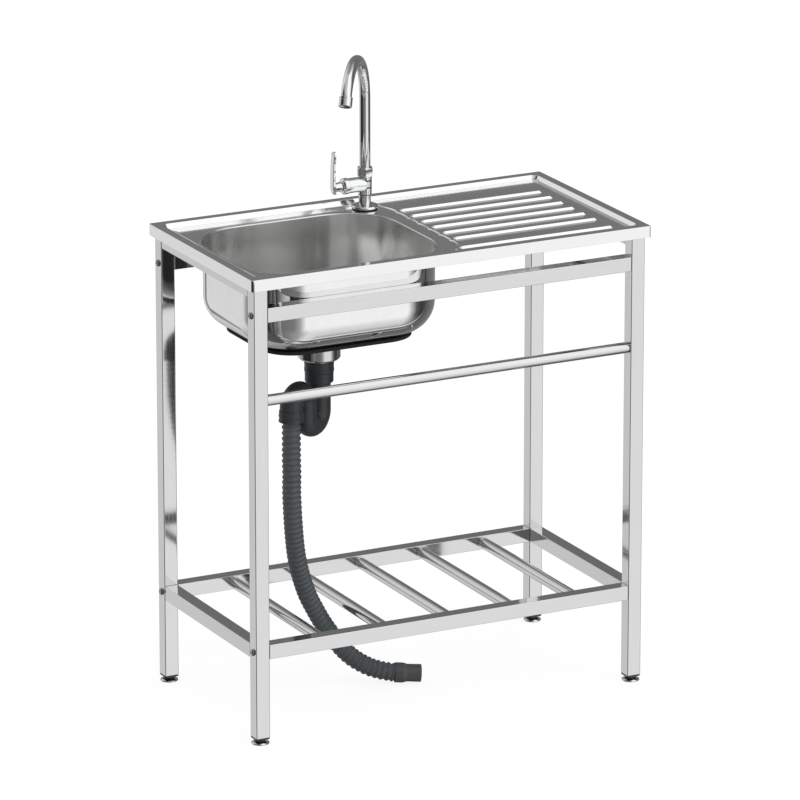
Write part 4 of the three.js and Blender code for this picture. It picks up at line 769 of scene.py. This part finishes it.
piece("strainer_lock_nut", [ribbed_ring(44.0, 52.0, 645.9, 655.7, 48)], [BLACK_PLASTIC], "sink_unit",
      ["strainer_locknut"])
coupling_rows = rounded([(22.4, 582.3), (25.0, 582.3), (25.5, 583.2), (25.5, 588.0), (25.1, 588.4),
                         (25.1, 596.0), (25.5, 596.4), (25.5, 599.2), (24.9, 600.0), (22.4, 600.0)],
                        0.3, closed=True)
piece("drain_coupling_nut", [grid(turned(coupling_rows, 72) + DRAIN, wrap_rows=True)],
      [BLACK_PLASTIC], "sink_unit", ["tail_coupling"])
collar_rows = rounded([(20.1, 564.5), (23.9, 564.5), (24.5, 565.3), (24.5, 572.5), (24.1, 572.9),
                       (24.1, 573.9), (24.5, 574.3), (24.5, 581.0), (24.0, 582.0), (20.1, 582.0)],
                      0.3, closed=True)
piece("trap_inlet_collar", [grid(turned(collar_rows, 72) + DRAIN, wrap_rows=True)],
      [BLACK_PLASTIC], "sink_unit", ["trap_collar"])

axis = np.array(DRAIN)
low = bend(axis + 515.9 * UP, -UP, TRAP_SIDE, 23, 180)
high = bend(axis + 46 * TRAP_SIDE + 537.5 * UP, UP, TRAP_SIDE, 23, 180)
outlet = axis + 92 * TRAP_SIDE
trap_line = even(np.vstack([axis + 582 * UP, low, high, outlet + 519.5 * UP]), 2.0)
TRAP_ACROSS = np.cross(UP, TRAP_SIDE)
trap_walls = np.concatenate([carried(trap_line, circle([19.7], 48), TRAP_ACROSS),
                             carried(trap_line, circle([17.5], 48), TRAP_ACROSS)[::-1]])
piece("trap_bend", [grid(trap_walls, wrap_rows=True)], [BLACK_PLASTIC], "sink_unit", ["trap_pipe"],
      smooth=50)
connector_rows = rounded([(14.8, 517.3), (20.6, 517.3), (21.8, 518.0), (21.4, 520.4), (20.9, 521.4),
                          (20.8, 526.4), (21.6, 527.2), (21.6, 529.0), (20.9, 529.8), (20.9, 535.4),
                          (20.4, 536.9), (20.0, 537.0), (20.0, 519.2), (14.8, 519.2)], 0.35,
                         closed=True)
piece("hose_connector_cup", [grid(turned(connector_rows, 72) + outlet, wrap_rows=True)],
      [BLACK_PLASTIC], "sink_unit", ["hose_connector"])

# ---- Hidden pieces keep their own shape and get their finish ----
for node, material in {"tap_gasket": RUBBER, "tap_washer": RUBBER, "tap_deck_nut": BRASS,
                       "valve_cartridge": CERAMIC, "valve_spindle": BRASS,
                       "strainer_gasket": RUBBER}.items():
    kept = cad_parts[node]
    kept.data.materials.clear()
    kept.data.materials.append(material)

# ---- Floor, surroundings and lamps ----
floor_mesh = bpy.data.meshes.new("studio_floor")
floor_mesh.from_pydata([(-9, -9, 0), (9, -9, 0), (9, 9, 0), (-9, 9, 0)], [], [(0, 1, 2, 3)])
floor = bpy.data.objects.new("studio_floor", floor_mesh)
bpy.context.scene.collection.objects.link(floor)
floor.visible_glossy = False
floor_material = bpy.data.materials.new("white_paper_floor")
floor_material.use_nodes = True
tree = floor_material.node_tree
tree.nodes.clear()
paper = add(tree, "ShaderNodeBsdfDiffuse", {"Color": (0.16, 0.16, 0.16, 1)})
plain = add(tree, "ShaderNodeBsdfDiffuse", {"Color": (0.8, 0.8, 0.8, 1)})
glow = add(tree, "ShaderNodeEmission", {"Color": (1, 1, 1, 1), "Strength": 0.88})
both = add(tree, "ShaderNodeAddShader", {0: paper.outputs[0], 1: glow.outputs[0]})
seen = add(tree, "ShaderNodeLightPath").outputs["Is Camera Ray"]
mixed = add(tree, "ShaderNodeMixShader", {0: seen, 1: plain.outputs[0], 2: both.outputs[0]})
add(tree, "ShaderNodeOutputMaterial", {"Surface": mixed.outputs[0]})
floor_mesh.materials.append(floor_material)

# What the metal sees is a room of grey levels, as bearings from the piece. It is dim behind the
# camera, with a white wall to the camera's right and a dark corner past it, a dark curtain to its
# left and a pale panel past it, and grey on the far side. The levels go back to readings of the
# reflections in the photo's metal, rounded and then changed over several renders.
TO_CAMERA_RIGHT, TO_CAMERA = (0.891, -0.454, 0), (-0.454, -0.891, 0)
world = bpy.data.worlds.new("studio_room")
bpy.context.scene.world = world
world.use_nodes = True
tree = world.node_tree
tree.nodes.clear()
way = add(tree, "ShaderNodeTexCoord").outputs["Generated"]
right = add(tree, "ShaderNodeVectorMath", {0: way, 1: TO_CAMERA_RIGHT}, operation="DOT_PRODUCT")
near = add(tree, "ShaderNodeVectorMath", {0: way, 1: TO_CAMERA}, operation="DOT_PRODUCT")
turn = add(tree, "ShaderNodeMath", {0: right.outputs["Value"], 1: near.outputs["Value"]},
           operation="ARCTAN2")
share = add(tree, "ShaderNodeMapRange", {0: turn.outputs[0], 1: -math.pi, 2: math.pi, 3: 0.0, 4: 1.0})
rise = add(tree, "ShaderNodeSeparateXYZ", {0: way}).outputs["Z"]
# Each belt of the room: the sines of elevation between which it takes over from the belt below,
# and its brightness by bearing from the camera's place, in degrees to the right.
BELTS = [
    (None, None, [(-180, 0.2), (-110, 0.4), (-90, 0.1), (-40, 0.08), (20, 0.35), (45, 0.75),
                  (68, 0.7), (84, 0.35), (100, 0.12), (150, 0.14), (180, 0.2)]),
    (-0.74, -0.42, [(-180, 0.25), (-168, 0.5), (-150, 0.74), (-112, 0.72), (-100, 0.3), (-90, 0.03),
                    (-46, 0.02), (-38, 0.14), (8, 0.2), (20, 0.4), (32, 0.96), (64, 0.96),
                    (74, 0.5), (86, 0.1), (100, 0.04), (130, 0.15), (180, 0.25)]),
    (-0.20, -0.10, [(-180, 0.2), (-165, 0.4), (-150, 0.6), (-112, 0.56), (-100, 0.3), (-90, 0.03),
                    (-46, 0.02), (-38, 0.14), (10, 0.22), (26, 0.5), (36, 1.05), (74, 1.05),
                    (86, 0.3), (100, 0.05), (130, 0.15), (180, 0.2)]),
    (0.0, 0.16, [(-180, 0.18), (-165, 0.2), (-150, 0.42), (-134, 0.76), (-112, 0.84), (-98, 0.3),
                 (-88, 0.03), (-46, 0.02), (-38, 0.14), (15, 0.25), (28, 0.9), (40, 1.15),
                 (88, 1.15), (98, 0.4), (110, 0.1), (130, 0.16), (180, 0.18)]),
    (0.60, 0.80, [(-180, 0.2), (-140, 0.35), (-110, 0.6), (-60, 0.5), (-10, 0.6), (25, 1.0),
                  (40, 1.15), (105, 1.15), (125, 0.7), (150, 0.4), (180, 0.2)])]
walls = None
for start, end, stops in BELTS:
    belt = add(tree, "ShaderNodeValToRGB", {0: share.outputs[0]},
               [(angle / 360 + 0.5, level) for angle, level in stops]).outputs[0]
    if start is not None:
        over = add(tree, "ShaderNodeMapRange", {0: rise, 1: start, 2: end, 3: 0.0, 4: 1.0},
                   interpolation_type="SMOOTHSTEP")
        belt = add(tree, "ShaderNodeMix", {0: over.outputs[0], 6: walls, 7: belt},
                   data_type="RGBA").outputs[2]
    walls = belt
path = add(tree, "ShaderNodeLightPath")
light = add(tree, "ShaderNodeMix", {0: path.outputs["Is Glossy Ray"], 6: (0.72, 0.72, 0.72, 1),
                                    7: walls}, data_type="RGBA")
shown = add(tree, "ShaderNodeMix", {0: path.outputs["Is Camera Ray"], 6: light.outputs[2],
                                    7: (1, 1, 1, 1)}, data_type="RGBA")
sky = add(tree, "ShaderNodeBackground", {"Color": shown.outputs[2], "Strength": 1.0})
add(tree, "ShaderNodeOutputWorld", {"Surface": sky.outputs[0]})

lamp = bpy.data.lights.new("soft_key", "SUN")
lamp.energy, lamp.angle = 1.1, math.radians(60)
key = bpy.data.objects.new("soft_key", lamp)
key.rotation_euler = (math.radians(38), math.radians(14), 0)
key.visible_glossy = False
bpy.context.scene.collection.objects.link(key)

bpy.context.scene.view_settings.view_transform = "Standard"
